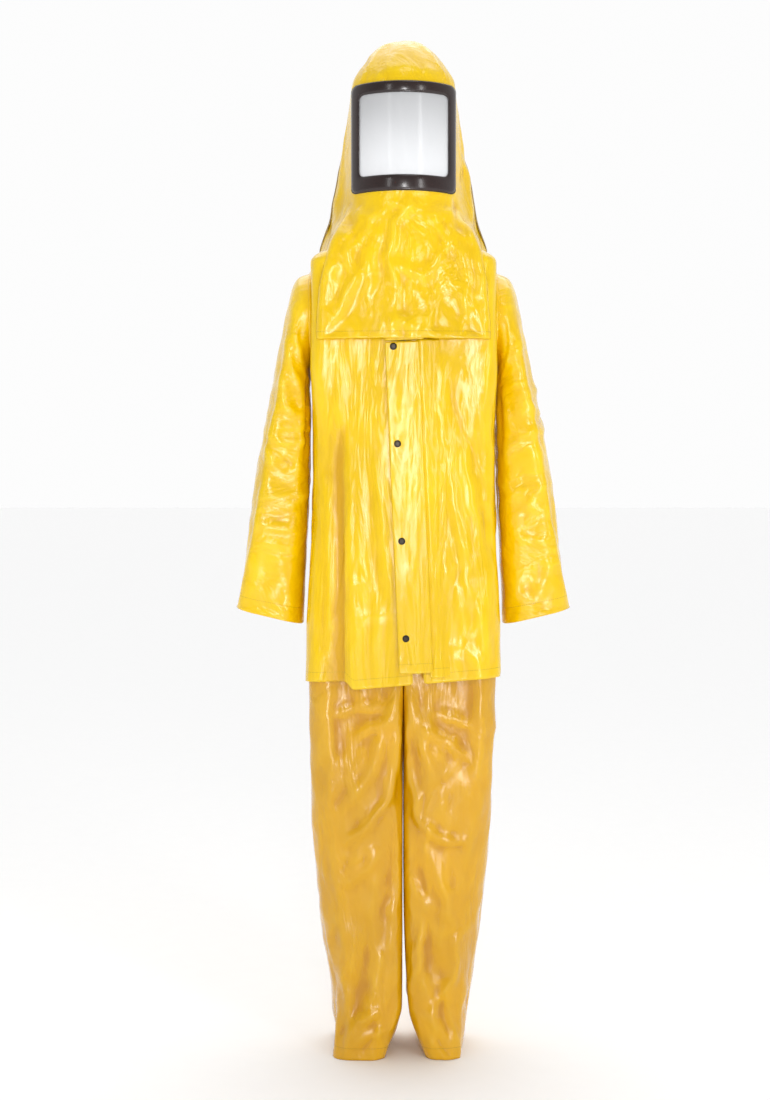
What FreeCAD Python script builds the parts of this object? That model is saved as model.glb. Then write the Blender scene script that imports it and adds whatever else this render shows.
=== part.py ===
"""Two-piece chemical protective suit with its hood, as named solids in millimetres.

The origin is where the wearer's shoulders carry the suit: the middle of the neck opening, at the
height of the neck seam. +Z is up, the front faces -Y, and the wearer's left is +X.
The fabric pieces are plain thin shells of the right size and place.
"""
import FreeCAD
import Part
import math
import os

V = FreeCAD.Vector

# ---- fabric and clearances -----------------------------------------------------------------------
wall = 1.2                  # coated fabric
lining = 1.0                # a folded hem adds this inside the wall
seat_gap = 0.05             # pieces that lie on each other
move_gap = 2.0              # pieces that move past each other
over = 3.0                  # how far a cutting solid runs past what it cuts
far = 2500.0                # larger than the suit

# ---- jacket: heights are drops below the neck seam -----------------------------------------------
neck_half_width = 80.0
neck_front = 72.0
neck_back = 80.0
neck_corner = 60.0
shoulder_drop = 50.0
shoulder_half_width = 158.0
shoulder_back = 112.0
chest_drop = 225.0
chest_back = 118.0
shoulder_corner = 24.0
rib_drop = 350.0
rib_half_width = 150.0
waist_drop = 480.0
waist_half_width = 153.0
hip_rise = 120.0            # hem up to the hips
hip_half_width = 166.0
hip_back = 128.0
hem_drop = 760.0
hem_half_width = 172.0
hem_back = 135.0
body_corner = 40.0
front_at_neck = 105.0       # the front is one plane, which leans out on its way down
front_at_hem = 135.0
hem_band_height = 25.0
collar_height = 42.0
collar_lean = 5.0
collar_opening = 48.0
armhole_radius = 76.0
armhole_drop = 137.0
binding_width = 6.0
binding_thickness = 1.2
loop_half_width = 24.0
loop_depth = 20.0
loop_height = 9.0
loop_thickness = 1.5
loop_rise = 12.0            # neck seam to the loop's lower edge

# ---- front closure: across the front from the snap line, and drops down the front ----------------
closure_x = -25.9           # the snap line where it meets the neck seam's height
closure_tilt = 2.45         # degrees, towards the wearer's left on its way down
flap_free_edge = 14.0       # snap line to the free edge
flap_hinge = 44.0           # snap line to the hinge line
flap_lift = 4.5             # panel to flap
flap_top = 188.0
flap_rise = 15.0            # hem up to the flap's foot
throat_top = 56.0
throat_foot = 186.0
strip_width = 8.0
strip_gap = 1.2             # hinge line to the sewn strip
hinge_clear = 0.5           # the flap's edge stops short of its hinge line
zip_line = 18.0             # snap line to the zip's middle
zip_opening = 9.0           # zip's middle to each panel edge
zip_top = 62.0
zip_rise = 25.0             # hem up to the zip's foot
tape_half_width = 13.0
tape_thickness = 0.6
chain_thickness = 2.4
chain_half_width = 3.2
spine_width = 1.4
tooth_pitch = 5.0
tooth_width = 2.2
tooth_lead = 1.0            # end of the row to its first tooth
chain_middle_gap = 1.2
slider_length = 15.0
slider_plate = 0.9
slider_gap = 0.5
slider_flange = 1.0
slider_post_length = 4.0
slider_top = 68.0
pull_length = 24.0
pull_half_width = 3.5
pull_thickness = 0.9
pull_hole_radius = 1.8
pull_end = 2.0              # slider's top to the pull, and the pull's foot to its hole
stop_length = 4.0
box_length = 12.0
box_lip = 1.0

# ---- snap fasteners ------------------------------------------------------------------------------
snap_count = 4
snap_first = 196.0
snap_last_rise = 74.0       # hem up to the last snap
cap_radius = 6.0
cap_top_radius = 3.6
cap_rise = 1.7
cap_rim = 0.6
socket_radius = 5.2
socket_bore = 2.6
socket_depth = 2.3
stud_base_radius = 5.5
stud_base = 0.8
stud_radius = 2.1
stud_height = 3.0
stud_back_radius = 4.6
stud_back = 0.8

# ---- sleeves, measured from the middle of the sleeve's head --------------------------------------
sleeve_gap = 2.0            # jacket side to the sleeve's head
sleeve_head_lap = 4.0       # the sleeve's head is this much larger than the armhole
sleeve_sections = [         # inner point and outer point: out from the head, drop; half depth
    (0.5, 87.0, 26.0, -67.0, 81.0),
    (1.0, 94.0, 46.0, -12.0, 79.0),
    (0.0, 113.0, 64.0, 63.0, 76.0),
    (-1.5, 163.0, 83.0, 148.0, 72.0),
    (-1.5, 213.0, 95.0, 213.0, 69.0),
    (0.0, 263.0, 104.0, 263.0, 67.0),
    (6.0, 363.0, 117.0, 358.0, 65.0),
    (15.0, 531.0, 132.0, 503.0, 63.0),
]
head_roundness = 0.95       # corner radius as a share of the half width; 1 is a circle
sleeve_roundness = 0.9
elbow_drop = 263.0          # armhole's middle to the elbow
elbow_y = 4.0
cuff_hem = 22.0

# ---- trousers ------------------------------------------------------------------------------------
trouser_top = 430.0
top_half_width = 138.0
top_front = 98.0
top_back = 100.0
crotch_drop = 790.0
trouser_corner = 30.0
waistband_height = 38.0
casing = 0.8
elastic_thickness = 1.6
knee_drop = 940.0
knee_y = 6.0
calf_drop = 1155.0
ankle_rise = 90.0           # leg end up to the ankle
foot_drop = 1420.0
leg_fronts = (105.0, 88.0, 72.0, 72.0, 80.0)            # crotch, knee, calf, ankle, leg end
leg_backs = (108.0, 92.0, 85.0, 88.0, 95.0)
right_leg_outer = (165.0, 162.0, 147.0, 118.0, 122.0)   # each leg hangs with its own folds
right_leg_inner = (3.0, 3.0, 3.0, 1.5, 30.0)
left_leg_outer = (162.0, 157.0, 136.0, 108.0, 98.0)
left_leg_inner = (3.0, 3.0, 3.0, 8.0, 38.0)
leg_hem = 24.0
fold_angle = 45.0           # each side of a bending joint gives way by this much

# ---- hood: each section has a front arc, two straight sides and a back arc -----------------------
hood_clearance = 6.0        # hood to jacket
bib_sections = [            # z, face corner in from the shoulder, its y, face y, side in, side y, back y
    (-182.0, 8.0, -121.5, -126.0, 2.0, 0.0, 145.0),
    (-100.0, 10.0, -119.0, -124.0, 4.0, 0.0, 142.0),
    (-50.0, 15.0, -116.0, -122.0, 6.0, 2.0, 139.0),
    (-10.0, 28.0, -110.0, -120.0, 12.0, 8.0, 135.0),
]
face_foot = 56.0            # the face is straight from here up to its top
face_top = 256.0
face_corner = 88.0          # half width of the face's round part
neck_side = 125.0
neck_side_y = 20.0
nape_back = 122.0
temple_side = 89.0
temple_side_y = 10.0
temple_back = 104.0
crown_sections = [          # z, face half width, face corner y, face y, side half width, side y, back y
    (282.0, 72.0, -60.0, -102.0, 76.0, 8.0, 94.0),
    (315.0, 48.0, -45.0, -68.0, 52.0, 5.0, 72.0),
    (332.0, 22.0, -25.0, -36.0, 26.0, 3.0, 42.0),
    (338.0, 6.0, -8.0, -10.0, 8.0, 2.0, 13.0),
]
hood_seam_y = 5.0
hood_hem_height = 14.0
bib_seam_height = -40.0      # the front bib is sewn to the face panel here
welt_rise = 1.8
welt_half_width = 3.5
welt_foot = -30.0

# ---- visor, on the round of the hood's face ------------------------------------------------------
face_radius = 100.0
face_axis_y = -17.0
gasket_thickness = 1.0
frame_thickness = 3.5
backing_thickness = 1.5
frame_half_width = 89.0
frame_foot = 64.0
frame_top = 246.0
frame_corner = 10.0
face_margin = 100.0         # the cutting cylinders run past the frame by this much
frame_side_bar = 14.4
frame_top_bar = 20.0
frame_foot_bar = 27.0
window_corner = 7.0
window_lap = 5.4            # the window runs this far under the frame's bars
fabric_lap = 3.4            # the fabric runs this far past the frame's opening


# ---- plain geometry ------------------------------------------------------------------------------
def block(x0, x1, y0, y1, z0, z1):
    return Part.makeBox(x1 - x0, y1 - y0, z1 - z0, V(x0, y0, z0))


def tube_x(radius, x0, x1, y, z):
    return Part.makeCylinder(radius, x1 - x0, V(x0, y, z), V(1, 0, 0))


def flat_prism(points, axis, start, end):
    """A polygon in the plane across the axis, as a prism from start to end along it."""
    place = {"x": lambda a, b: V(start, a, b), "y": lambda a, b: V(a, start, b)}[axis]
    corners = [place(a, b) for a, b in points]
    run = V(end - start, 0, 0) if axis == "x" else V(0, end - start, 0)
    return Part.Face(Part.makePolygon(corners + corners[:1])).extrude(run)


def rounded_wire(half_u, half_v, corner, centre, u_axis, v_axis):
    """A rounded rectangle about a centre, on two axes at right angles."""
    edges = []
    turns = []
    for su, sv, start in ((1, -1, -90), (1, 1, 0), (-1, 1, 90), (-1, -1, 180)):
        turn = []
        for angle in (start, start + 45, start + 90):
            bend = math.radians(angle)
            u = su * (half_u - corner) + corner * math.cos(bend)
            v = sv * (half_v - corner) + corner * math.sin(bend)
            turn.append(centre + u_axis * u + v_axis * v)
        turns.append(turn)
    for turn, following in zip(turns, turns[1:] + turns[:1]):
        edges.append(Part.Arc(*turn).toShape())
        edges.append(Part.makeLine(turn[2], following[0]))
    return Part.Wire(edges)


def loft(wires):
    return Part.makeLoft(wires, True, True)


def mitre(before, after):
    """How far a corner between two unit normals goes when both sides go one unit inwards."""
    return (before + after) * (1 / (1 + before.dot(after)))


def profile_steps(profile, closed_top):
    """For a profile of half widths and heights from the bottom up, how each point steps inwards."""
    normals = []
    for (w0, z0), (w1, z1) in zip(profile, profile[1:]):
        run = V(w1 - w0, 0, z1 - z0).normalize()
        normals.append(V(-run.z, 0, run.x))
    steps = [V(1 / normals[0].x, 0, 0)]
    steps += [mitre(before, after) for before, after in zip(normals, normals[1:])]
    if closed_top:
        steps.append(mitre(normals[-1], V(0, 0, -1)))
    else:
        steps.append(V(1 / normals[-1].x, 0, 0))
    return steps


# ---- jacket body ---------------------------------------------------------------------------------
lean = (front_at_hem - front_at_neck) / hem_drop
hip_drop = hem_drop - hip_rise
flap_foot = hem_drop - flap_rise
zip_foot = hem_drop - zip_rise


def front_y(drop):
    return -front_at_neck - lean * drop


jacket_levels = [           # drop, half width, front y, back y, corner radius; from the hem up
    (hem_drop, hem_half_width, front_y(hem_drop), hem_back, body_corner),
    (hip_drop, hip_half_width, front_y(hip_drop), hip_back, body_corner),
    (waist_drop, waist_half_width, front_y(waist_drop), chest_back, body_corner),
    (rib_drop, rib_half_width, front_y(rib_drop), chest_back, body_corner),
    (chest_drop, shoulder_half_width, front_y(chest_drop), chest_back, shoulder_corner),
    (shoulder_drop, shoulder_half_width, front_y(shoulder_drop), shoulder_back, shoulder_corner),
    (0.0, neck_half_width, -neck_front, neck_back, neck_corner),
]


def body_loft(levels, inset, past=0.0):
    """The torso's solid, every side moved in by the inset, run past its open ends if asked."""
    steps = profile_steps([(half, -drop) for drop, half, *rest in levels], False)
    wires = []
    for (drop, half, front, back, corner), step in zip(levels, steps):
        inwards = -step.x * inset
        centre = V(0, (front + back) / 2, -drop + step.z * inset)
        half_depth = (back - front) / 2 - inwards
        wires.append(rounded_wire(half - inwards, half_depth, corner - inwards, centre,
                                  V(1, 0, 0), V(0, 1, 0)))
    if past:
        wires.insert(0, wires[0].translated(V(0, 0, -past)))
        wires.append(wires[-1].translated(V(0, 0, past)))
    return loft(wires)


def closure_place(shape):
    """Puts a shape drawn on the snap line onto the leaning front of the jacket."""
    leaned = FreeCAD.Rotation(V(1, 0, 0), -math.degrees(math.atan(lean)))
    tilted = FreeCAD.Rotation(V(0, 1, 0), -closure_tilt)
    placed = shape.copy()
    origin = V(closure_x, -front_at_neck, 0)
    placed.Placement = FreeCAD.Placement(origin, leaned.multiply(tilted))
    return placed


def layer(u0, u1, out0, out1, drop0, drop1):
    """A flat piece of the closure: across, outwards from the front, and down from the neck."""
    return closure_place(block(u0, u1, -out1, -out0, -drop1, -drop0))


def disc(drop, radius, out0, out1, top_radius=None):
    """A round piece on the snap line."""
    foot = V(0, -out0, -drop)
    if top_radius is None:
        return closure_place(Part.makeCylinder(radius, out1 - out0, foot, V(0, -1, 0)))
    return closure_place(Part.makeCone(radius, top_radius, out1 - out0, foot, V(0, -1, 0)))


def jacket_pieces():
    outer = body_loft(jacket_levels, 0.0)
    shell = outer.cut(body_loft(jacket_levels, wall, over))
    side = shoulder_half_width
    for sx in (-1, 1):
        hole = tube_x(armhole_radius, -over, over + wall, 0, -armhole_drop)
        shell = shell.cut(hole.translated(V(sx * side, 0, 0)))
    shell = shell.cut(layer(zip_line - zip_opening, zip_line + zip_opening,
                            -over * 2, over, -over, hem_drop + over * 2))
    back_half = block(-far, far, 0, far, -far, far)
    front = shell.cut(back_half)
    right_half = layer(-far, zip_line, -far, far, -far, far)
    pieces = {
        "jacket_back_panel": shell.common(back_half),
        "jacket_right_front": front.common(right_half),
        "jacket_left_front": front.cut(right_half),
    }
    hem = body_loft(jacket_levels, wall + seat_gap, over).cut(
        body_loft(jacket_levels, wall + lining, over))
    hem = hem.common(block(-far, far, -far, far, -hem_drop, hem_band_height - hem_drop))
    pieces["jacket_hem_band"] = hem.cut(
        layer(zip_line - tape_half_width - 1, zip_line + tape_half_width + 1,
              -far / 2, over, 0, hem_drop * 2).common(block(-far, far, -far, 0, -far, far)))
    for name, sx in (("right", -1), ("left", 1)):
        face = side - wall - seat_gap
        ring = tube_x(armhole_radius + binding_width, face - binding_thickness, face, 0, -armhole_drop)
        ring = ring.cut(tube_x(armhole_radius, 0, far, 0, -armhole_drop))
        if sx < 0:
            ring = ring.mirror(V(0, 0, 0), V(1, 0, 0))
        pieces["armhole_binding_" + name] = ring
    return pieces


def collar_pieces():
    levels = [
        (0.0, neck_half_width, -neck_front, neck_back, neck_corner),
        (-collar_height, neck_half_width - collar_lean, -neck_front + collar_lean,
         neck_back - collar_lean, neck_corner - collar_lean),
    ]
    room = body_loft(levels, wall, over)
    ring = body_loft(levels, 0.0).cut(room)
    gap = layer(zip_line - collar_opening / 2, zip_line + collar_opening / 2, -far / 2, far / 2, -far, 0.5)
    gap = gap.common(block(-far, far, -far, 0, -1, far))
    inner_back = neck_back - wall
    strap_outer = block(-loop_half_width, loop_half_width, inner_back - loop_depth, far / 4,
                        loop_rise, loop_rise + loop_height)
    strap_inner = block(-loop_half_width + loop_thickness, loop_half_width - loop_thickness,
                        inner_back - loop_depth + loop_thickness, far / 4, 0, far)
    return {
        "collar": ring.cut(gap),
        "hang_loop": strap_outer.cut(strap_inner).common(room),
    }


# ---- zip and storm flap --------------------------------------------------------------------------
tape_out = -wall - seat_gap
chain_mid = tape_out - tape_thickness / 2
chain_out = chain_mid + chain_thickness / 2
chain_in = chain_mid - chain_thickness / 2


def zip_chain(side):
    """One row of teeth on its spine, as a comb; the two rows stand half a pitch apart."""
    first = zip_top + (0 if side < 0 else tooth_pitch / 2)
    count = int((zip_foot - zip_top - tooth_pitch) / tooth_pitch)
    spine_inner = chain_half_width - spine_width
    points = [(chain_half_width, -zip_top), (spine_inner, -zip_top)]
    for i in range(count):
        top = first + tooth_pitch * i + tooth_lead
        for reach, drop in ((spine_inner, top), (chain_middle_gap / 2, top),
                            (chain_middle_gap / 2, top + tooth_width), (spine_inner, top + tooth_width)):
            points.append((reach, -drop))
    points += [(spine_inner, -zip_foot), (chain_half_width, -zip_foot)]
    placed = [(zip_line + side * reach, z) for reach, z in points]
    return closure_place(flat_prism(placed, "y", -chain_out, -chain_in))


def zip_pieces():
    pieces = {}
    for name, side in (("right", -1), ("left", 1)):
        edges = sorted((zip_line + side * chain_half_width, zip_line + side * tape_half_width))
        pieces["zip_tape_" + name] = layer(*edges, tape_out - tape_thickness, tape_out, zip_top, zip_foot)
        pieces["zip_teeth_" + name] = zip_chain(side)
    stops = [layer(zip_line + u0, zip_line + u1, chain_in, chain_out, zip_top - stop_length, zip_top)
             for u0, u1 in ((-chain_half_width, -chain_middle_gap / 2),
                            (chain_middle_gap / 2, chain_half_width))]
    pieces["zip_top_stops"] = Part.makeCompound(stops)
    box_half = chain_half_width + box_lip
    pieces["zip_bottom_box"] = layer(zip_line - box_half, zip_line + box_half, chain_in, chain_out,
                                     zip_foot, zip_foot + box_length)
    return pieces


def slider_pieces():
    """The zip's slider: two plates on a middle post, with flanges that leave slots for the tapes."""
    foot = slider_top + slider_length
    room = chain_half_width + slider_gap
    side = room + slider_flange
    front_in = chain_out + slider_gap
    back_out = chain_in - slider_gap
    front_out = front_in + slider_plate
    body = layer(zip_line - side, zip_line + side, back_out - slider_plate, front_out, slider_top, foot)
    body = body.cut(layer(zip_line - room, zip_line + room, back_out, front_in,
                          slider_top - over, foot + over))
    body = body.cut(layer(zip_line - side - over, zip_line + side + over,
                          tape_out - tape_thickness - slider_gap, tape_out + slider_gap,
                          slider_top - over, foot + over))
    post_half = chain_middle_gap / 2 - slider_gap / 2
    body = body.fuse(layer(zip_line - post_half, zip_line + post_half, back_out - slider_plate / 2,
                           front_in + slider_plate / 2, slider_top, slider_top + slider_post_length))
    pull_top = slider_top + pull_end
    pull = layer(zip_line - pull_half_width, zip_line + pull_half_width, front_out + seat_gap,
                 front_out + seat_gap + pull_thickness, pull_top, pull_top + pull_length)
    hole_drop = pull_top + pull_length - pull_end - pull_hole_radius
    hole = Part.makeCylinder(pull_hole_radius, far, V(zip_line, -far / 2, -hole_drop), V(0, 1, 0))
    return {"zip_slider": body.removeSplitter(), "zip_pull": pull.cut(closure_place(hole))}


def flap_pieces():
    flap_out = flap_lift + wall
    strip_edge = flap_hinge + strip_gap
    caps = []
    sockets = []
    studs = []
    backs = []
    snap_pitch = (hem_drop - snap_last_rise - snap_first) / (snap_count - 1)
    flap = layer(-flap_free_edge, flap_hinge - hinge_clear, flap_lift, flap_out, flap_top, flap_foot)
    strip_top = layer(strip_edge, strip_edge + strip_width, seat_gap, flap_out, throat_top, throat_foot)
    for i in range(snap_count):
        drop = snap_first + snap_pitch * i
        rim = disc(drop, cap_radius, flap_out + seat_gap, flap_out + seat_gap + cap_rim)
        dome = disc(drop, cap_radius, flap_out + seat_gap + cap_rim, flap_out + cap_rise, cap_top_radius)
        caps.append(rim.fuse(dome))
        ring = disc(drop, socket_radius, flap_lift - socket_depth, flap_lift - seat_gap)
        sockets.append(ring.cut(disc(drop, socket_bore, flap_lift - socket_depth - over, flap_lift + over)))
        base = disc(drop, stud_base_radius, seat_gap, stud_base)
        studs.append(base.fuse(disc(drop, stud_radius, stud_base / 2, stud_height)))
        backs.append(disc(drop, stud_back_radius, -wall - seat_gap - stud_back, -wall - seat_gap))
    return {
        "storm_flap": flap,
        "throat_flap": layer(-flap_free_edge, strip_edge, flap_lift, flap_out, throat_top, throat_foot),
        "flap_strip": strip_top.fuse(layer(strip_edge, strip_edge + strip_width, seat_gap,
                                           flap_lift - seat_gap, throat_foot, flap_foot)),
        "snap_caps": Part.makeCompound(caps),
        "snap_sockets": Part.makeCompound(sockets),
        "snap_studs": Part.makeCompound(studs),
        "snap_stud_backs": Part.makeCompound(backs),
    }


# ---- sleeves and trousers ------------------------------------------------------------------------
sleeve_head = V(shoulder_half_width + sleeve_gap, 0, -armhole_drop)


def fold_region(drop, y, fold_side, upper):
    """All the space above or below a bending joint, less the notch that lets it bend."""
    rise = math.tan(math.radians(fold_angle)) * far
    gap = move_gap / 2
    points = [(y, gap), (y - fold_side * far, gap), (y - fold_side * far, far * 2),
              (y + fold_side * far, far * 2), (y + fold_side * far, rise + gap)]
    sign = 1 if upper else -1
    placed = [(a, -drop + sign * b) for a, b in points]
    return flat_prism(placed, "x", -far, far)


def sleeve_loft(inset, past=0.0):
    """The wearer's left sleeve as a solid."""
    radius = armhole_radius + sleeve_head_lap - inset
    wires = [rounded_wire(radius, radius, radius * head_roundness, sleeve_head, V(0, 0, 1), V(0, -1, 0))]
    axis = V(1, 0, 0)
    for inner_out, inner_drop, outer_out, outer_drop, depth in sleeve_sections:
        inner = sleeve_head + V(inner_out, 0, -inner_drop)
        outer = sleeve_head + V(outer_out, 0, -outer_drop)
        across = (outer - inner).normalize()
        half = (outer - inner).Length / 2 - inset
        axis = V(across.z, 0, -across.x)
        centre = (inner + outer) * 0.5
        corner = sleeve_roundness * min(half, depth - inset)
        wires.append(rounded_wire(half, depth - inset, corner, centre, across, V(0, -1, 0)))
    if past:
        wires.insert(0, wires[0].translated(V(-past, 0, 0)))
        wires.append(wires[-1].translated(axis * past))
    return loft(wires)


def cuff_region():
    inner_out, inner_drop, outer_out, outer_drop, depth = sleeve_sections[-1]
    across = V(outer_out - inner_out, 0, inner_drop - outer_drop)
    inner = sleeve_head + V(inner_out, 0, -inner_drop)
    box = Part.makeBox(far, far, cuff_hem, V(-far / 2, -far / 2, 0))
    box.Placement = FreeCAD.Placement(inner, FreeCAD.Rotation(V(1, 0, 0), across))
    return box


def sleeve_pieces():
    shell = sleeve_loft(0.0).cut(sleeve_loft(wall, over))
    hem = sleeve_loft(wall + seat_gap, over).cut(sleeve_loft(wall + lining, over)).common(cuff_region())
    left = {
        "upper_sleeve": shell.common(fold_region(armhole_drop + elbow_drop, elbow_y, -1, True)),
        "lower_sleeve": shell.common(fold_region(armhole_drop + elbow_drop, elbow_y, -1, False)),
        "cuff_hem": hem,
    }
    pieces = {}
    for name, shape in left.items():
        pieces["left_" + name] = shape
        pieces["right_" + name] = shape.mirror(V(0, 0, 0), V(1, 0, 0))
    return pieces


def seat_loft(inset, top, past=0.0):
    levels = [
        (crotch_drop, right_leg_outer[0], -leg_fronts[0], leg_backs[0], trouser_corner),
        (top, top_half_width, -top_front, top_back, trouser_corner),
    ]
    return body_loft(levels, inset, past)


def leg_loft(sx, outers, inners, inset, past=0.0):
    """One leg as a solid, on the side that sx gives."""
    drops = (crotch_drop, knee_drop, calf_drop, foot_drop - ankle_rise, foot_drop)
    wires = []
    for drop, outer, inner, front, back in zip(drops, outers, inners, leg_fronts, leg_backs):
        half = (outer - inner) / 2
        depth = (front + back) / 2
        corner = min(trouser_corner, sleeve_roundness * half)
        centre = V(sx * (outer + inner) / 2, (back - front) / 2, -drop)
        wires.append(rounded_wire(half - inset, depth - inset, corner - inset, centre,
                                  V(1, 0, 0), V(0, 1, 0)))
    if past:
        wires.insert(0, wires[0].translated(V(0, 0, past)))
        wires.append(wires[-1].translated(V(0, 0, -past)))
    return loft(wires)


def trouser_pieces():
    seat = seat_loft(0.0, trouser_top).cut(seat_loft(wall, trouser_top, over))
    front_half = block(-far, far, -far, 0, -far, far)
    above_knee = fold_region(knee_drop, knee_y, 1, True)
    below_knee = fold_region(knee_drop, knee_y, 1, False)
    pieces = {}
    for name, sx, outers, inners in (("right", -1, right_leg_outer, right_leg_inner),
                                     ("left", 1, left_leg_outer, left_leg_inner)):
        leg = leg_loft(sx, outers, inners, 0.0).cut(leg_loft(sx, outers, inners, wall, over))
        side = block(0, far, -far, far, -far, far) if sx > 0 else block(-far, 0, -far, far, -far, far)
        upper = seat.common(side).fuse(leg.common(above_knee)).removeSplitter()
        lower = leg.common(below_knee)
        pieces["trousers_%s_front" % name] = upper.common(front_half)
        pieces["trousers_%s_back" % name] = upper.cut(front_half)
        pieces["%s_shin_front" % name] = lower.common(front_half)
        pieces["%s_shin_back" % name] = lower.cut(front_half)
        hem = leg_loft(sx, outers, inners, wall + seat_gap, over).cut(
            leg_loft(sx, outers, inners, wall + lining, over))
        foot_room = block(-far, far, -far, far, -foot_drop, leg_hem - foot_drop)
        pieces[name + "_leg_hem"] = hem.common(foot_room)
    band_foot = trouser_top + waistband_height
    band_room = block(-far, far, -far, far, -band_foot, -trouser_top)
    outside = wall + seat_gap
    middle = outside + casing
    inside = middle + elastic_thickness
    elastic = seat_loft(middle, trouser_top, over).cut(seat_loft(inside, trouser_top, over))
    elastic = elastic.common(block(-far, far, -far, far, casing * 2 - band_foot, -trouser_top - casing * 2))
    band = seat_loft(outside, trouser_top, over).cut(seat_loft(inside + casing, trouser_top, over))
    pieces["waistband"] = band.common(band_room).cut(elastic)
    pieces["waist_elastic"] = elastic
    return pieces


# ---- hood and visor ------------------------------------------------------------------------------
def hood_wire(z, face_half, face_corner_y, face_y, side_half, side_y, back_y, inset):
    """One section of the hood, every side moved in by the inset."""
    corner = V(face_half, face_corner_y, 0)
    turn = V(side_half, side_y, 0)
    rise = face_corner_y - face_y
    face_centre = V(0, face_y + (face_half ** 2 + rise ** 2) / (2 * rise), 0)
    reach = back_y - side_y
    back_centre = V(0, back_y - (side_half ** 2 + reach ** 2) / (2 * reach), 0)
    line = (turn - corner).normalize()
    side_normal = V(-line.y, line.x, 0)
    corner = corner + mitre((face_centre - corner).normalize(), side_normal) * inset
    turn = turn + mitre(side_normal, (back_centre - turn).normalize()) * inset
    up = V(0, 0, z)
    mirrored = [V(-p.x, p.y, 0) for p in (corner, turn)]
    return Part.Wire([
        Part.Arc(mirrored[0] + up, V(0, face_y + inset, z), corner + up).toShape(),
        Part.makeLine(corner + up, turn + up),
        Part.Arc(turn + up, V(0, back_y - inset, z), mirrored[1] + up).toShape(),
        Part.makeLine(mirrored[1] + up, mirrored[0] + up),
    ])


face_front = face_axis_y - face_radius
face_corner_y = face_axis_y - math.sqrt(face_radius ** 2 - face_corner ** 2)
hood_sections = [           # z, face half width, face corner y, face y, side half width, side y, back y
    (z, shoulder_half_width - face_in, corner_y, face, shoulder_half_width - side_in, side_y, back)
    for z, face_in, corner_y, face, side_in, side_y, back in bib_sections
] + [
    (face_foot, face_corner, face_corner_y, face_front, neck_side, neck_side_y, nape_back),
    (face_top, face_corner, face_corner_y, face_front, temple_side, temple_side_y, temple_back),
] + crown_sections


def hood_loft(inset, past=0.0):
    steps = profile_steps([(-section[3], section[0]) for section in hood_sections], True)
    wires = []
    for section, step in zip(hood_sections, steps):
        wires.append(hood_wire(section[0] + step.z * inset, *section[1:], -step.x * inset))
    if past:
        wires.insert(0, wires[0].translated(V(0, 0, -past)))
    return loft(wires)


def face_band(inner, outer, shape):
    """What lies between two radii of the face's round, inside a prism."""
    height = frame_top - frame_foot + face_margin * 2
    base = V(0, face_axis_y, frame_foot - face_margin)
    ring = Part.makeCylinder(outer, height, base).cut(Part.makeCylinder(inner, height, base))
    return ring.common(shape)


def face_prism(half_width, foot, top, corner):
    """A rounded rectangle seen from the front, as a prism through the face."""
    wire = rounded_wire(half_width, (top - foot) / 2, corner, V(0, face_axis_y, (top + foot) / 2),
                        V(1, 0, 0), V(0, 0, 1))
    return Part.Face(wire).extrude(V(0, -face_radius * 2, 0))


def hood_pieces():
    room = body_loft(jacket_levels, -hood_clearance, over)
    outer = hood_loft(0.0)
    shell = outer.cut(hood_loft(wall, over)).cut(room)
    glass_half = frame_half_width - frame_side_bar
    glass_foot = frame_foot + frame_foot_bar
    glass_top = frame_top - frame_top_bar
    frame_shape = face_prism(frame_half_width, frame_foot, frame_top, frame_corner)
    opening = face_prism(glass_half, glass_foot, glass_top, window_corner)
    window_shape = face_prism(glass_half + window_lap, glass_foot - window_lap, glass_top + window_lap,
                              window_corner + window_lap / 2)
    fabric_hole = face_prism(glass_half + fabric_lap, glass_foot - fabric_lap, glass_top + fabric_lap,
                             window_corner)
    gasket_face = face_radius + gasket_thickness
    backing = hood_loft(wall + seat_gap).cut(hood_loft(wall + seat_gap + backing_thickness))
    front_half = block(-far, far, -far, hood_seam_y, -far, far)
    front = shell.common(front_half).cut(fabric_hole)
    below = block(-far, far, -far, far, -far, bib_seam_height)
    foot = hood_sections[0][0]
    hem = hood_loft(wall + seat_gap, over).cut(hood_loft(wall + lining, over)).cut(room)
    seam_slab = block(-far, far, hood_seam_y - welt_half_width, hood_seam_y + welt_half_width, welt_foot, far)
    welt = hood_loft(-welt_rise).cut(outer).common(seam_slab)
    return {
        "hood_face_panel": front.cut(below),
        "hood_front_bib": front.common(below),
        "hood_back_panel": shell.cut(front_half),
        "hood_hem": hem.common(block(-far, far, -far, far, foot, foot + hood_hem_height)),
        "hood_crown_welt": welt,
        "visor_window": face_band(face_radius + seat_gap, gasket_face - seat_gap, window_shape),
        "visor_gasket": face_band(face_radius + seat_gap, gasket_face - seat_gap,
                                  frame_shape.cut(window_shape)),
        "visor_frame": face_band(gasket_face, gasket_face + frame_thickness, frame_shape.cut(opening)),
        "visor_backing_frame": backing.common(frame_shape.cut(fabric_hole)),
    }


# ---- export --------------------------------------------------------------------------------------
def main():
    os.makedirs("parts", exist_ok=True)
    pieces = {}
    for group in (jacket_pieces, collar_pieces, zip_pieces, slider_pieces, flap_pieces,
                  sleeve_pieces, trouser_pieces, hood_pieces):
        pieces.update(group())
    for name, shape in sorted(pieces.items()):
        print("%-22s %2d solids %9.0f mm3 %s" % (name, len(shape.Solids), shape.Volume, shape.isValid()))
        shape.exportStep("parts/%s.step" % name)


main()
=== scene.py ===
import math
import random

import bmesh
import bpy
import numpy as np
from bpy.props import FloatProperty, FloatVectorProperty, IntProperty, PointerProperty
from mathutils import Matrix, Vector, noise


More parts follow.
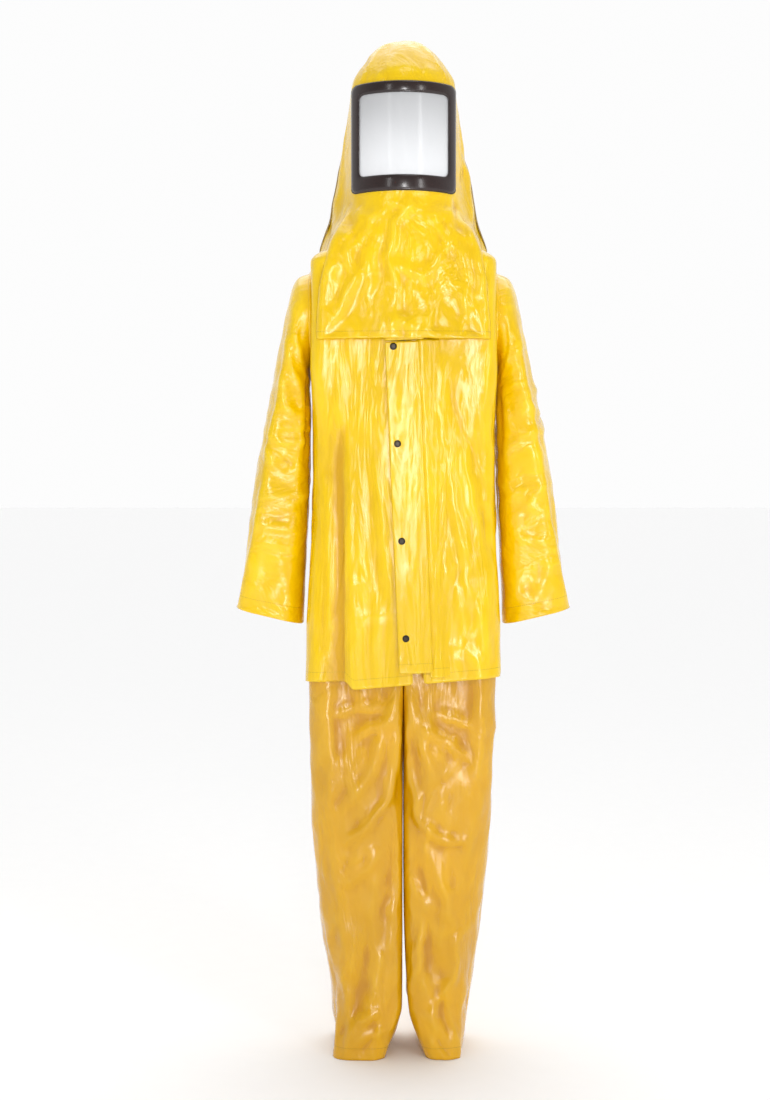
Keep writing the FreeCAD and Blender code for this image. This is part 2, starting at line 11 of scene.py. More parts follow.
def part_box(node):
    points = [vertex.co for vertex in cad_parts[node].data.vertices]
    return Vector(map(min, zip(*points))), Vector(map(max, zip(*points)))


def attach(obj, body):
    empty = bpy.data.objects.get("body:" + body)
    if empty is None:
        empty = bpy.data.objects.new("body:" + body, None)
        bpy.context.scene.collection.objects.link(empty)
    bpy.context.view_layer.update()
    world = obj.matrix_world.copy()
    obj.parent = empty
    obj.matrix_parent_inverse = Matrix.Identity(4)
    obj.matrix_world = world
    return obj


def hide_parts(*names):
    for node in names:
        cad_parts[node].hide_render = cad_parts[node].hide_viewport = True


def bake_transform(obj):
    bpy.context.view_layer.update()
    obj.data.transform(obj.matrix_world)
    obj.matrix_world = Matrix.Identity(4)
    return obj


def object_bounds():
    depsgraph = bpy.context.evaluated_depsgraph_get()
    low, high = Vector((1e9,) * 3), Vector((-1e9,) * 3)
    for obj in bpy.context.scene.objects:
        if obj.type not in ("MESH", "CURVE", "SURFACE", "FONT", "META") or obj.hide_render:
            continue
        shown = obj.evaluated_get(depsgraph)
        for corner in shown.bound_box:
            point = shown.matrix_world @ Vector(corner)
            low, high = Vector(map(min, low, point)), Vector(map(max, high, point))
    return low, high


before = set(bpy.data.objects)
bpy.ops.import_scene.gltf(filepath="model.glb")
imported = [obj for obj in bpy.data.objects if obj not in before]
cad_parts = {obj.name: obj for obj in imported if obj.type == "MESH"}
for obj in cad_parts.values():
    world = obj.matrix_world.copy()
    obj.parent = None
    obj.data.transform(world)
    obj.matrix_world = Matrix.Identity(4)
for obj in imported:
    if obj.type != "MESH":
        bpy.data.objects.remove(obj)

bl_info = {
    "name": "Chemical protective suit",
    "version": (1, 0, 0),
    "blender": (4, 5, 0),
    "location": "View3D > Sidebar > Suit",
    "description": "Makes the cloth, visor surround and finishes of a hooded protective suit round its frame",
    "category": "Object",
}

MM = 0.001
CAD_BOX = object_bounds()


# ---- sizes and colours ---------------------------------------------------------------------------
class SuitSizes(bpy.types.PropertyGroup):
    """Sizes that a user would change."""
    cell: FloatProperty(name="Cloth cell", description="Side of the cloth's mesh cells before subdivision",
                        default=0.0084, min=0.005, max=0.03, unit="LENGTH")
    wall: FloatProperty(name="Fabric thickness", description="Thickness of the coated fabric",
                        default=0.0009, min=0.0004, max=0.003, unit="LENGTH")
    folds: FloatProperty(name="Fold depth", description="Height of the hand-placed folds, 1 as drawn",
                         default=1.0, min=0.0, max=2.0, subtype="FACTOR")
    slack: FloatProperty(name="Slack", description="How much larger the cloth is cut than its room",
                         default=0.042, min=0.0, max=0.1, subtype="FACTOR")
    frames: IntProperty(name="Hanging steps", description="Simulation steps that each garment hangs for",
                        default=24, min=4, max=60)
    visor_bar: FloatProperty(name="Visor bar", description="Thickness of the visor surround",
                             default=0.0035, min=0.001, max=0.006, unit="LENGTH")
    welt: FloatProperty(name="Welt", description="Radius of the welded seam round each armhole",
                        default=0.0019, min=0.001, max=0.004, unit="LENGTH")
    eye_height: FloatProperty(name="Eye height", description="Camera height above the floor",
                              default=1.0, min=0.2, max=2.5, unit="LENGTH")
    eye_distance: FloatProperty(name="Eye distance", description="Camera distance in front of the suit",
                                default=3.0, min=1.5, max=8.0, unit="LENGTH")


def colour(name, description, value):
    return FloatVectorProperty(name=name, description=description, default=value, size=3, min=0.0,
                               max=1.0, subtype="COLOR")


class SuitColours(bpy.types.PropertyGroup):
    """Colours that a user would change."""
    jacket: colour("Jacket", "Coated fabric of the jacket and hood", (0.95, 0.615, 0.0))
    trousers: colour("Trousers", "Coated fabric of the trousers", (0.74, 0.385, 0.0))
    surround: colour("Visor surround", "Dark moulded edge of the visor", (0.020, 0.009, 0.008))
    # Window: the clear sheet's pale tint, which also serves as the painted reflection of the room.
    window: colour("Window", "Clear sheet of the visor", (0.90, 0.91, 0.93))
    metal: colour("Metal", "Zip slider", (0.62, 0.61, 0.58))
    snap: colour("Snaps", "Blackened metal of the snaps", (0.045, 0.038, 0.032))
    tape: colour("Tape", "Zip tape and elastic", (0.80, 0.55, 0.03))
    # Welt: the seam tape's own darker tone, deepened as painted shade of the hood's back panel seen edge-on
    # round the crown.
    welt: colour("Welt", "Welded edge tape", (0.36, 0.24, 0.05))
    floor: colour("Floor", "Floor and backdrop", (0.93, 0.93, 0.93))


def sizes():
    return bpy.context.scene.suit_sizes


def colours():
    return bpy.context.scene.suit_colours


# ---- curves and levels ---------------------------------------------------------------------------
def flow(heights, values, at):
    """Values between levels on smooth curves that don't overshoot."""
    heights, values, at = (np.asarray(x, float) for x in (heights, values, at))
    run = np.diff(heights)
    rise = np.diff(values) / run
    both = rise[:-1] * rise[1:]
    mean = np.where(both > 0, 2 * both / np.where(both > 0, rise[:-1] + rise[1:], 1), 0)
    slope = np.concatenate([rise[:1], mean, rise[-1:]])
    i = np.clip(np.searchsorted(heights, at) - 1, 0, len(run) - 1)
    t = (at - heights[i]) / run[i]
    return ((2 * t ** 3 - 3 * t ** 2 + 1) * values[i] + (t ** 3 - 2 * t ** 2 + t) * run[i] * slope[i]
            + (3 * t ** 2 - 2 * t ** 3) * values[i + 1] + (t ** 3 - t ** 2) * run[i] * slope[i + 1])


def along(points, fractions):
    """Points at fractions of a line's length."""
    points = np.asarray(points, float)
    reach = np.concatenate([[0], np.cumsum(np.linalg.norm(np.diff(points, axis=0), axis=1))])
    at = np.asarray(fractions) * reach[-1]
    return np.stack([np.interp(at, reach, points[:, k]) for k in range(points.shape[1])], 1)


def bend(x, y, radius, start, end, steps=8):
    """Points on a quarter turn round (x, y)."""
    return [(x + radius * math.cos(math.radians(a)), y + radius * math.sin(math.radians(a)))
            for a in np.linspace(start, end, steps)]


def ramp(low, high, x):
    t = np.clip((np.asarray(x, float) - low) / (high - low), 0, 1)
    return t * t * (3 - 2 * t)


# ---- cloth ---------------------------------------------------------------------------------------
def lay_grid(mesh, cut_layer, place, cut):
    """Lays a grid of cloth over places, given by row and column, with its flat pattern in the cut map."""
    rows, columns = place.shape[0] - 1, place.shape[1] - 1
    made = bmesh.ops.create_grid(mesh, x_segments=columns, y_segments=rows, size=1.0)["verts"]
    spot = {}
    for vert in made:
        column = round((vert.co.x + 1) / 2 * columns)
        row = round((1 - vert.co.y) / 2 * rows)
        spot[vert] = (row, column)
        vert.co = Vector(place[row, column]) * MM
    for face in {face for vert in made for face in vert.link_faces}:
        for loop in face.loops:
            row, column = spot[loop.vert]
            loop[cut_layer].uv = (cut[row, column, 0] * MM, cut[row, column, 1] * MM)


def cut_map(place):
    """The flat pattern's coordinates in mm, from the spacing of one row and one column."""
    middle = place[place.shape[0] // 2]
    across = np.concatenate([[0], np.cumsum(np.linalg.norm(np.diff(middle, axis=0), axis=1))])
    edge = place[:, place.shape[1] // 3]
    down = np.concatenate([[0], np.cumsum(np.linalg.norm(np.diff(edge, axis=0), axis=1))])
    return np.stack(np.broadcast_arrays(across[None, :], (down[-1] - down)[:, None]), -1)


def sheet_mesh(place):
    """A bmesh with one sheet of cloth laid over places."""
    mesh = bmesh.new()
    lay_grid(mesh, mesh.loops.layers.uv.new("cut"), place, cut_map(place))
    return mesh


def new_piece(name, mesh, body, finish, merge=0.0004):
    """A mesh object from a bmesh, with its doubles merged, faces outwards, on its body."""
    if merge:
        bmesh.ops.remove_doubles(mesh, verts=mesh.verts, dist=merge)
        bmesh.ops.recalc_face_normals(mesh, faces=mesh.faces)
        middle = sum((vert.co for vert in mesh.verts), Vector()) / len(mesh.verts)
        facing = sum((face.calc_center_median() - middle).dot(face.normal) * face.calc_area()
                     for face in mesh.faces)
        if facing < 0:
            bmesh.ops.reverse_faces(mesh, faces=mesh.faces)
    data = bpy.data.meshes.new(name)
    mesh.to_mesh(data)
    mesh.free()
    piece = bpy.data.objects.new(name, data)
    bpy.context.scene.collection.objects.link(piece)
    data.materials.append(finish)
    for face in data.polygons:
        face.use_smooth = True
    if body:
        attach(piece, body)
    return piece


def read(data):
    flat = np.empty(len(data.vertices) * 3)
    data.vertices.foreach_get("co", flat)
    return flat.reshape(-1, 3)


def places(piece):
    """The points' x, y and z in mm."""
    return read(piece.data).T / MM


def write(data, points):
    data.vertices.foreach_set("co", points.ravel())
    data.update()


def normals(data):
    flat = np.empty(len(data.vertices) * 3)
    data.vertices.foreach_get("normal", flat)
    return flat.reshape(-1, 3)


def ends(data):
    flat = np.empty(len(data.edges) * 2, int)
    data.edges.foreach_get("vertices", flat)
    return flat.reshape(-1, 2)


def spread(edge, values, times=1, share=0.5):
    """Values smoothed over the mesh's edges."""
    count = np.bincount(edge.ravel(), minlength=len(values)).clip(1)
    for _ in range(times):
        total = np.zeros_like(values)
        np.add.at(total, edge[:, 0], values[edge[:, 1]])
        np.add.at(total, edge[:, 1], values[edge[:, 0]])
        mean = total / (count[:, None] if values.ndim > 1 else count)
        values = values * (1 - share) + mean * share
    return values


def rim(data):
    """How many edges of the open border meet each vertex."""
    faces = np.zeros(len(data.edges), int)
    links = np.empty(len(data.loops), int)
    data.loops.foreach_get("edge_index", links)
    np.add.at(faces, links, 1)
    edge = ends(data)
    return np.bincount(edge[faces == 1].ravel(), minlength=len(data.vertices)) > 0


def line_height(flat, line, height, width, sharp):
    """The height that one fold gives to points on a plane: a soft ridge, or a creased tent."""
    line = np.asarray(line, float)
    best = np.full(len(flat), 1e9)
    part = np.zeros(len(flat))
    reach = np.concatenate([[0], np.cumsum(np.linalg.norm(np.diff(line, axis=0), axis=1))])
    for k, (a, b) in enumerate(zip(line[:-1], line[1:])):
        run = b - a
        t = np.clip(((flat - a) @ run) / (run @ run), 0, 1)
        away = np.linalg.norm(flat - a - t[:, None] * run, axis=1)
        nearer = away < best
        best[nearer] = away[nearer]
        part[nearer] = (reach[k] + t[nearer] * (reach[k + 1] - reach[k])) / reach[-1]
    wide = width * (1.15 - 0.5 * part)
    if sharp:
        body = np.clip(1 - best / (wide * 2.0), 0, 1) ** 1.5
    else:
        body = np.exp(-(best / wide) ** 2) - 0.30 * np.exp(-(best / (wide * 2.3)) ** 2)
    return height * body * np.clip(4 * part * (1 - part), 0.0, 1) ** 0.6


def wander(flat):
    """Moves a plane's points a few millimetres, so that folds drawn on it aren't straight."""
    a, b = flat.T
    return flat + np.stack([3.0 * np.sin(b / 24 + a / 61) + 1.6 * np.sin(b / 9.3 + 1),
                            2.6 * np.sin(a / 19 + b / 53)], 1)


def crumple(piece, pitch, tall, seed, calm=1.0):
    """Shallow seeded packing creases: pitch is their size along x and y, and along z."""
    data = piece.data
    points, out = read(data), normals(data)
    where = points / MM / np.array([pitch[0], pitch[0], pitch[1]]) + seed * 7.3
    height = np.array([1 - 2.0 * abs(noise.noise(Vector(w)))
                       + 0.45 * (1 - 2.0 * abs(noise.noise(Vector(w * 2.3)))) for w in where])
    write(data, points + out * ((height - 0.9) * tall * calm * sizes().folds * MM)[:, None])


def fold(piece, folds, loose=(), calm=1.0):
    """Raises folds on the front, each a line in x and z, a height, a width and whether it is creased.
    Loose ones have their lines in the cut map, and calm is the share of the height that is used."""
    data = piece.data
    points, out = read(data), normals(data)
    height = np.zeros(len(points))
    seen = np.clip(out[:, 1] * -2.5, 0, 1)
    flat = wander(points[:, [0, 2]] / MM)
    for line, tall, width, sharp in folds:
        height += line_height(flat, line, 1.25 * tall, 1.15 * width, sharp) * seen
    if loose:
        cut = np.zeros((len(points), 2))
        for loop, uv in zip(data.loops, data.uv_layers["cut"].data):
            cut[loop.vertex_index] = uv.uv
        cut = wander(cut / MM)
        for line, tall, width, sharp in loose:
            height += line_height(cut, line, tall, width, sharp)
    write(data, points + out * (height * calm * sizes().folds * MM)[:, None])


def loose_folds(seed, count, across, down, length, lean, tall, width, creased=0.3):
    """Seeded folds over a region of the cut: lean is the angle from straight down, in degrees."""
    chance = random.Random(seed)
    made = []
    for _ in range(count):
        u, v = chance.uniform(*across), chance.uniform(*down)
        angle = math.radians(chance.gauss(*lean))
        step = chance.uniform(*length) / 3
        line = [(u, v)]
        for _ in range(3):
            angle += math.radians(chance.gauss(0, 9))
            line.append((line[-1][0] + math.sin(angle) * step, line[-1][1] - math.cos(angle) * step))
        made.append((line, chance.uniform(*tall) * chance.choice((1, 1, -1)), chance.uniform(*width),
                     chance.random() < creased))
    return made


def scatter(piece, calm, *lots):
    """Raises lots of seeded folds, one after another."""
    for lot in lots:
        fold(piece, [], loose_folds(*lot), calm)


def hang(piece, hold, stretch, cap, gravity=0.15):
    """Lets slack cloth settle: stretch is how much longer the cut is along x and y, and along z."""
    scene = bpy.context.scene
    data = piece.data
    before = read(data)
    centre = (before.max(0) + before.min(0)) / 2
    piece.shape_key_add(name="hung")
    cut = piece.shape_key_add(name="cut")
    larger = centre + (before - centre) * (np.array([stretch[0], stretch[0], stretch[1]]) + 1)
    cut.data.foreach_set("co", larger.ravel())
    cut.value = 0.0
    group = piece.vertex_groups.new(name="hold")
    for index, weight in enumerate(hold):
        group.add([index], float(weight), "REPLACE")
    cloth = piece.modifiers.new("hang", "CLOTH")
    cloth.point_cache.frame_start, cloth.point_cache.frame_end = 1, sizes().frames
    made = cloth.settings
    made.quality, made.mass, made.air_damping = 5, 0.2, 4.0
    made.tension_stiffness = made.compression_stiffness = 25.0
    made.shear_stiffness, made.bending_stiffness = 12.0, 1.2
    made.tension_damping = made.compression_damping = 10.0
    made.vertex_group_mass, made.pin_stiffness = "hold", 1.0
    made.rest_shape_key = cut
    made.effector_weights.gravity = gravity
    cloth.collision_settings.use_collision = False
    for step in range(1, sizes().frames + 1):
        scene.frame_set(step)
    settled = piece.evaluated_get(bpy.context.evaluated_depsgraph_get())
    after = read(settled.data)
    piece.modifiers.remove(cloth)
    piece.shape_key_clear()
    piece.vertex_groups.clear()
    scene.frame_set(1)
    move = after - before
    far = np.linalg.norm(move, axis=1)
    keep = cap * np.tanh(far / cap) / far.clip(1e-9)
    write(data, before + move * keep[:, None])


def shade_folds(piece, extra_painted_shade=0.0, contrast=1.0):
    """Keeps how hollow or proud each point is, plus any extra painted shade, for the finish to use as painted
    shade in hollows and a painted highlight on proud points.
    """
    data = piece.data
    points, out, edge = read(data), normals(data), ends(data)
    hollow = np.einsum("ij,ij->i", spread(edge, points, 1, 1.0) - points, out) / MM
    wide = np.einsum("ij,ij->i", spread(edge, points, 6, 1.0) - points, out) / MM
    # Painted fold shade: above 0 in hollows, where the finish paints shade, and below 0 on proud points,
    # where it paints a highlight.
    fold_shade = np.clip((hollow * 0.5 + wide * 0.16) * contrast, -1, 1.2)
    layer = data.attributes.new("hollow", "FLOAT", "POINT")
    layer.data.foreach_set("value", spread(edge, fold_shade + extra_painted_shade, 1))


def round_off(piece):
    rounder = piece.modifiers.new("round", "SUBSURF")
    rounder.levels = rounder.render_levels = 1


def finish_cloth(piece, thickness=None, extra_painted_shade=0.0, contrast=1.0):
    """Rounds the cloth off, gives it its thickness inwards, and returns its area in one layer."""
    area = sum(face.area for face in piece.data.polygons)
    shade_folds(piece, extra_painted_shade, contrast)
    round_off(piece)
    wall = piece.modifiers.new("thickness", "SOLIDIFY")
    wall.thickness, wall.offset = thickness or sizes().wall, -1.0
    wall.use_rim = True
    ready = piece.evaluated_get(bpy.context.evaluated_depsgraph_get())
    data = bpy.data.meshes.new_from_object(ready)
    piece.modifiers.clear()
    piece.data = data
    return area


# ---- finishes ------------------------------------------------------------------------------------
class Wire:
    """A shader socket that takes part in sums."""

    def __init__(self, finish, socket):
        self.finish, self.socket = finish, socket

    def sum(self, operation, *values):
        return self.finish.node("ShaderNodeMath", {"operation": operation}, dict(enumerate(values)))

    def turned(self, operation):
        return self.sum(operation, self)

    def __add__(self, other):
        return self.sum("ADD", self, other)

    def __sub__(self, other):
        return self.sum("SUBTRACT", self, other)

    def __rsub__(self, other):
        return self.sum("SUBTRACT", other, self)

    def __mul__(self, other):
        return self.sum("MULTIPLY", self, other)

    __radd__, __rmul__ = __add__, __mul__

    def within(self, low, high):
        """1 between two values, and 0 outside them."""
        return self.sum("GREATER_THAN", self, low) * self.sum("LESS_THAN", self, high)

    def between(self, low, high):
        """Rises from 0 at low to 1 at high."""
        return self.finish.node("ShaderNodeMapRange", {"interpolation_type": "SMOOTHSTEP"},
                                {"Value": self, "From Min": low, "From Max": high})


class Finish:
    """A material put together from shader nodes."""

    def __init__(self, name):
        self.material = bpy.data.materials.new(name)
        self.material.use_nodes = True
        self.tree = self.material.node_tree
        self.tree.nodes.clear()

    def node(self, kind, settings=None, values=None, output=0):
        made = self.tree.nodes.new(kind)
        for name, value in (settings or {}).items():
            if name == "stops":
                while len(made.color_ramp.elements) < len(value):
                    made.color_ramp.elements.new(0.5)
                for stop, (place, shade) in zip(made.color_ramp.elements, value):
                    stop.position, stop.color = place, (*shade, 1)
            else:
                setattr(made, name, value)
        for name, value in (values or {}).items():
            if isinstance(value, Wire):
                self.tree.links.new(value.socket, made.inputs[name])
            else:
                made.inputs[name].default_value = value
        return Wire(self, made.outputs[output])

    def place(self, scale=(1, 1, 1)):
        where = self.node("ShaderNodeTexCoord", output="Object")
        return self.node("ShaderNodeMapping", {}, {"Vector": where, "Scale": scale})

    def cut(self):
        return self.node("ShaderNodeUVMap", {"uv_map": "cut"})

    def parts(self, vector):
        split = self.node("ShaderNodeSeparateXYZ", {}, {"Vector": vector}).socket.node
        return [Wire(self, socket) for socket in split.outputs]

    def noise(self, where, scale, detail=2.0, roughness=0.5, distortion=0.0):
        return self.node("ShaderNodeTexNoise", {}, {"Vector": where, "Scale": scale, "Detail": detail,
                                                    "Roughness": roughness, "Distortion": distortion})

    def mix(self, share, first, second):
        return self.node("ShaderNodeMix", {"data_type": "RGBA"}, {"Factor": share, 6: first, 7: second},
                         output=2)

    def bump(self, height, strength, distance, before=None):
        values = {"Height": height, "Strength": strength, "Distance": distance}
        if before:
            values["Normal"] = before
        return self.node("ShaderNodeBump", {}, values)

    def done(self, values):
        """Ends in a principled surface with these socket values."""
        surface = self.node("ShaderNodeBsdfPrincipled", {}, values)
        end = self.tree.nodes.new("ShaderNodeOutputMaterial")
        self.tree.links.new(surface.socket, end.inputs["Surface"])
        return self.material


def shade(rgb, factor):
    return (*[min(1.0, c * factor) for c in rgb], 1)


def coated_fabric(name, rgb, stitch_rows=(), streaks=True, on_cut=True, creases=(21, 21, 4)):
    """Glossy coated cloth: crinkled film over a fine weave, with lines of stitching along the cut. On the cut
    its colour has painted shade in fold hollows and a painted highlight on proud folds, and everywhere
    painted shade along noise creases.
    """
    finish = Finish(name)
    where = finish.place()
    slow = finish.noise(where, 5.0, 3.0)
    fine = finish.noise(where, 38.0, 4.0, 0.6, 0.6)
    colour_now = finish.mix(slow.between(0.3, 0.72), shade(rgb, 0.90), shade(rgb, 1.06))
    # deep is the colour of painted shade, and pale the colour of painted highlight.
    deep = (rgb[0] * 0.66, rgb[1] * 0.50, rgb[2] * 0.5, 1)
    pale = (min(1, rgb[0] * 1.08), min(1, rgb[1] * 1.22), 0.02, 1)
    crinkle = finish.noise(finish.place((60, 60, 26) if streaks else (45, 45, 45)), 1.0, 5.0, 0.62, 1.4)
    height = (crinkle - 0.5).turned("ABSOLUTE") * -1.0
    rough = 0.13 + slow * 0.09 + fine * 0.05
    if on_cut:
        hollow = finish.node("ShaderNodeAttribute", {"attribute_name": "hollow"}, output="Fac")
        # Painted shade: fold hollows darken towards deep.
        colour_now = finish.mix(hollow.between(0.10, 1.3) * 0.75, colour_now, deep)
        # Painted highlight: proud folds lighten towards pale.
        colour_now = finish.mix((hollow * -1.0).between(0.15, 1.2) * 0.35, colour_now, pale)
        rough = rough + hollow.between(0.0, 1.0) * 0.12
    weave_at = finish.cut() if on_cut else where
    across, down, _ = finish.parts(weave_at)
    weave = (across * 5200.0).turned("SINE") * (down * 5200.0).turned("SINE")
    normal = finish.bump(weave, 0.10, 0.00012)
    if on_cut:
        for low, pitch in stitch_rows:
            line = down.within(low - 0.0005, low + 0.0005)
            dash = (across * (1 / pitch)).turned("FRACT").within(0.0, 0.68)
            colour_now = finish.mix(line * dash * 0.7, colour_now, shade(rgb, 0.55))
            normal = finish.bump(line * (dash * 1.6 - 0.8), 0.5, 0.0006, normal)
    bent = finish.noise(finish.place(creases), 1.0, 3.0, 0.55, 0.8)
    sharp = (bent - 0.5).turned("ABSOLUTE").between(0.0, 0.15)
    # Painted shade along the noise creases: the colour darkens towards deep in the crease valleys.
    colour_now = finish.mix((1.0 - sharp) * 0.16, colour_now, deep)
    normal = finish.bump(sharp, 0.30, 0.0036, normal)
    normal = finish.bump(height, 0.12, 0.0024, normal)
    normal = finish.bump(fine, 0.08, 0.0014, normal)
    return finish.done({"Base Color": colour_now, "Roughness": rough, "Normal": normal, "IOR": 1.52,
                        "Coat Weight": 0.30, "Coat Roughness": 0.14, "Coat IOR": 1.45,
                        "Specular IOR Level": 0.42})


def moulded_plastic(name, rgb, roughness=0.25, grain=600.0, coat=0.3):
    finish = Finish(name)
    where = finish.place()
    slow = finish.noise(where, 12.0, 3.0)
    grains = finish.noise(where, grain, 2.0)
    base = finish.mix(slow.between(0.3, 0.7), shade(rgb, 0.8), shade(rgb, 1.25))
    normal = finish.bump(grains, 0.12, 0.0002)
    normal = finish.bump(slow, 0.25, 0.002, normal)
    return finish.done({"Base Color": base, "Roughness": slow * 0.10 + (roughness - 0.05), "Normal": normal,
                        "Coat Weight": coat, "Coat Roughness": 0.12})


def brushed_metal(name, rgb):
    finish = Finish(name)
    where = finish.place((900, 900, 90))
    lines = finish.noise(where, 1.0, 3.0)
    base = finish.mix(lines.between(0.3, 0.7), shade(rgb, 0.75), shade(rgb, 1.1))
    return finish.done({"Base Color": base, "Roughness": lines * 0.18 + 0.22, "Metallic": 1.0,
                        "Normal": finish.bump(lines, 0.15, 0.0002)})


def woven_tape(name, rgb, pitch=0.0011):
    finish = Finish(name)
    where = finish.place()
    x, _, z = finish.parts(where)
    cloth = (x * (6.283 / pitch)).turned("SINE") * (z * (6.283 / pitch)).turned("SINE")
    base = finish.mix(cloth.between(-0.7, 0.7), shade(rgb, 0.72), shade(rgb, 1.12))
    fuzz = finish.noise(where, 900.0, 2.0)
    normal = finish.bump(fuzz, 0.2, 0.0002, finish.bump(cloth, 0.5, 0.0003))
    return finish.done({"Base Color": base, "Roughness": 0.78 + fuzz * 0.1, "Normal": normal})


def clear_sheet(name, rgb):
    """Flexible clear window, a little hazy, with a painted reflection of the pale room in its colour, pale
    low down and greyer towards the top.
    """
    finish = Finish(name)
    where = finish.place()
    slow = finish.noise(where, 9.0, 2.0)
    _, _, z = finish.parts(where)
    # Painted reflection of the room: pale low on the sheet, greyer towards the top.
    base = finish.mix((z + slow * 0.03).between(0.12, 0.26), shade(rgb, 1.03), shade(rgb, 0.62))
    normal = finish.bump(slow, 0.15, 0.002)
    return finish.done({"Base Color": base, "Roughness": 0.10 + slow * 0.06, "Alpha": 0.86,
                        "Normal": normal, "IOR": 1.45, "Specular IOR Level": 0.25})


FINISHES = {}


def finishes():
    """The suit's materials, made once."""
    if not FINISHES:
        c = colours()
        FINISHES.update({
            "jacket": coated_fabric("jacket_fabric", c.jacket, [(0.016, 0.0034)]),
            "hood": coated_fabric("hood_fabric", c.jacket, [(0.012, 0.0034)], False, True, (16, 16, 11)),
            "sleeve": coated_fabric("sleeve_fabric", c.jacket, [(0.024, 0.0034)], False, True, (10, 10, 17)),
            "trousers": coated_fabric("trouser_fabric", c.trousers, [(0.020, 0.0034)], True, True,
                                      (15, 15, 6)),
            "plain": coated_fabric("small_fabric", c.jacket, (), False, False),
            # Crown welt: real seam tape whose dark colour also carries painted shade along the crown's edge.
            "welt": coated_fabric("welt_tape_and_edge_shade", c.welt, (), False, False),
            "surround": moulded_plastic("visor_surround", c.surround, 0.22),
            "gasket": moulded_plastic("gasket_rubber", (0.03, 0.03, 0.03), 0.6, 900.0, 0.0),
            "zip": moulded_plastic("zip_plastic", (0.72, 0.50, 0.04), 0.35, 800.0, 0.1),
            "metal": brushed_metal("slider_metal", c.metal),
            "snap": brushed_metal("snap_metal", c.snap),
            "tape": woven_tape("zip_tape", c.tape),
            "elastic": woven_tape("waist_elastic", (0.75, 0.73, 0.68), 0.0016),
            "window": clear_sheet("visor_window_sheet", c.window),
        })
    return FINISHES


# ---- jacket --------------------------------------------------------------------------------------
JACKET_LEVELS = [           # drop, half width, front, back, corner
    (0, 80, -72, 80, 58), (50, 158, -107, 112, 26), (225, 158, -113.9, 118, 26), (350, 150, -118.8, 118, 42),
    (480, 153, -124, 118, 44), (640, 166, -130.3, 128, 46), (760, 172, -135, 135, 46),
]
CLOSURE_X, CLOSURE_Y = -25.9, -105.0
CLOSURE_LEAN, FRONT_LEAN = 0.0428, 0.03947
ARMHOLE = (158.0, -137.0, 76.5)          # half width of the jacket there, height and radius
WELT_ROUND = 78.2                        # radius of the seam's middle line
CREASE = -93.0                           # the right front turns back from here
SHOULDER, HEM = 50, 760                  # drops


def closure_x(u, drop):
    return CLOSURE_X + u + CLOSURE_LEAN * drop


def front_plane(drop):
    return CLOSURE_Y - FRONT_LEAN * drop


def jacket_outline(level, left, right, set_back):
    """One level of the jacket, from the closure's left edge round the back to its right edge."""
    drop, half, front, back, corner = level
    line = [(left, front), (half - corner, front)]
    line += bend(half - corner, front + corner, corner, -90, 0)
    line += bend(half - corner, back - corner, corner, 0, 90)
    line += bend(corner - half, back - corner, corner, 90, 180)
    line += bend(corner - half, front + corner, corner, 180, 270)
    line += [(right, front)]
    line = along(line, np.linspace(0, 1, 1400))
    turned = np.clip((CREASE - line[:, 0]) / 13, 0, 1) * np.clip((70 - line[:, 1]) / (70 - front), 0, 1)
    line[:, 1] += set_back * turned
    return line


JACKET_FOLDS = [            # line in x and z, height, width, creased
    ([(-94, -335), (-92, -560), (-94, -760)], 2.5, 7, True),
    ([(-72, -380), (-74, -560), (-70, -740)], 1.8, 6, False),
    ([(-8, -300), (12, -430), (34, -560), (44, -660)], 4.0, 9, False),
    ([(22, -290), (44, -420), (64, -560), (70, -640)], 3.6, 8, False),
    ([(48, -280), (78, -400), (98, -520), (112, -620)], 4.2, 9, False),
    ([(-45, -330), (-38, -480), (-24, -640), (-20, -740)], 3.2, 9, False),
    ([(77, -245), (105, -350), (135, -470), (152, -565)], -5.0, 10, False),
    ([(90, -330), (118, -450), (138, -560)], 4.0, 8, False),
    ([(77, -560), (66, -610), (58, -680)], 3.6, 6, True),
    ([(77, -560), (92, -612), (96, -668)], 3.2, 6, True),
    ([(117, -586), (106, -640), (88, -705)], 4.2, 8, False),
    ([(117, -590), (132, -650), (140, -735)], 3.6, 9, False),
    ([(82, -700), (108, -708), (128, -738), (134, -757)], 4.0, 9, False),
    ([(20, -600), (26, -680), (12, -758)], 3.6, 10, False),
    ([(-60, -560), (-44, -660), (-40, -760)], 2.4, 9, False),
    ([(-72, -651), (-23, -648)], 2.4, 5, True),
    ([(-90, -595), (-70, -597)], 2.2, 5, True),
    ([(-130, -300), (-140, -420), (-136, -560)], 3.5, 12, False),
    ([(-118, -420), (-122, -560), (-126, -740)], 3.2, 10, False),
    ([(-150, -520), (-146, -640), (-150, -750)], 2.6, 9, False),
    ([(140, -240), (148, -360), (150, -480)], 3.2, 9, False),
    ([(150, -560), (156, -660), (158, -750)], 3.2, 9, False),
    ([(60, -215), (66, -300), (62, -380)], 2.4, 7, False),
    ([(-100, -215), (-112, -300), (-106, -380)], 3.0, 8, False),
]


def under_flaps(piece):
    """1 in the open, and less where the flaps lie on the jacket."""
    x, y, z = places(piece)
    u = x - CLOSURE_X + CLOSURE_LEAN * z
    return 1 - 0.9 * ramp(-26, -12, u) * ramp(74, 56, u) * (y < -60)


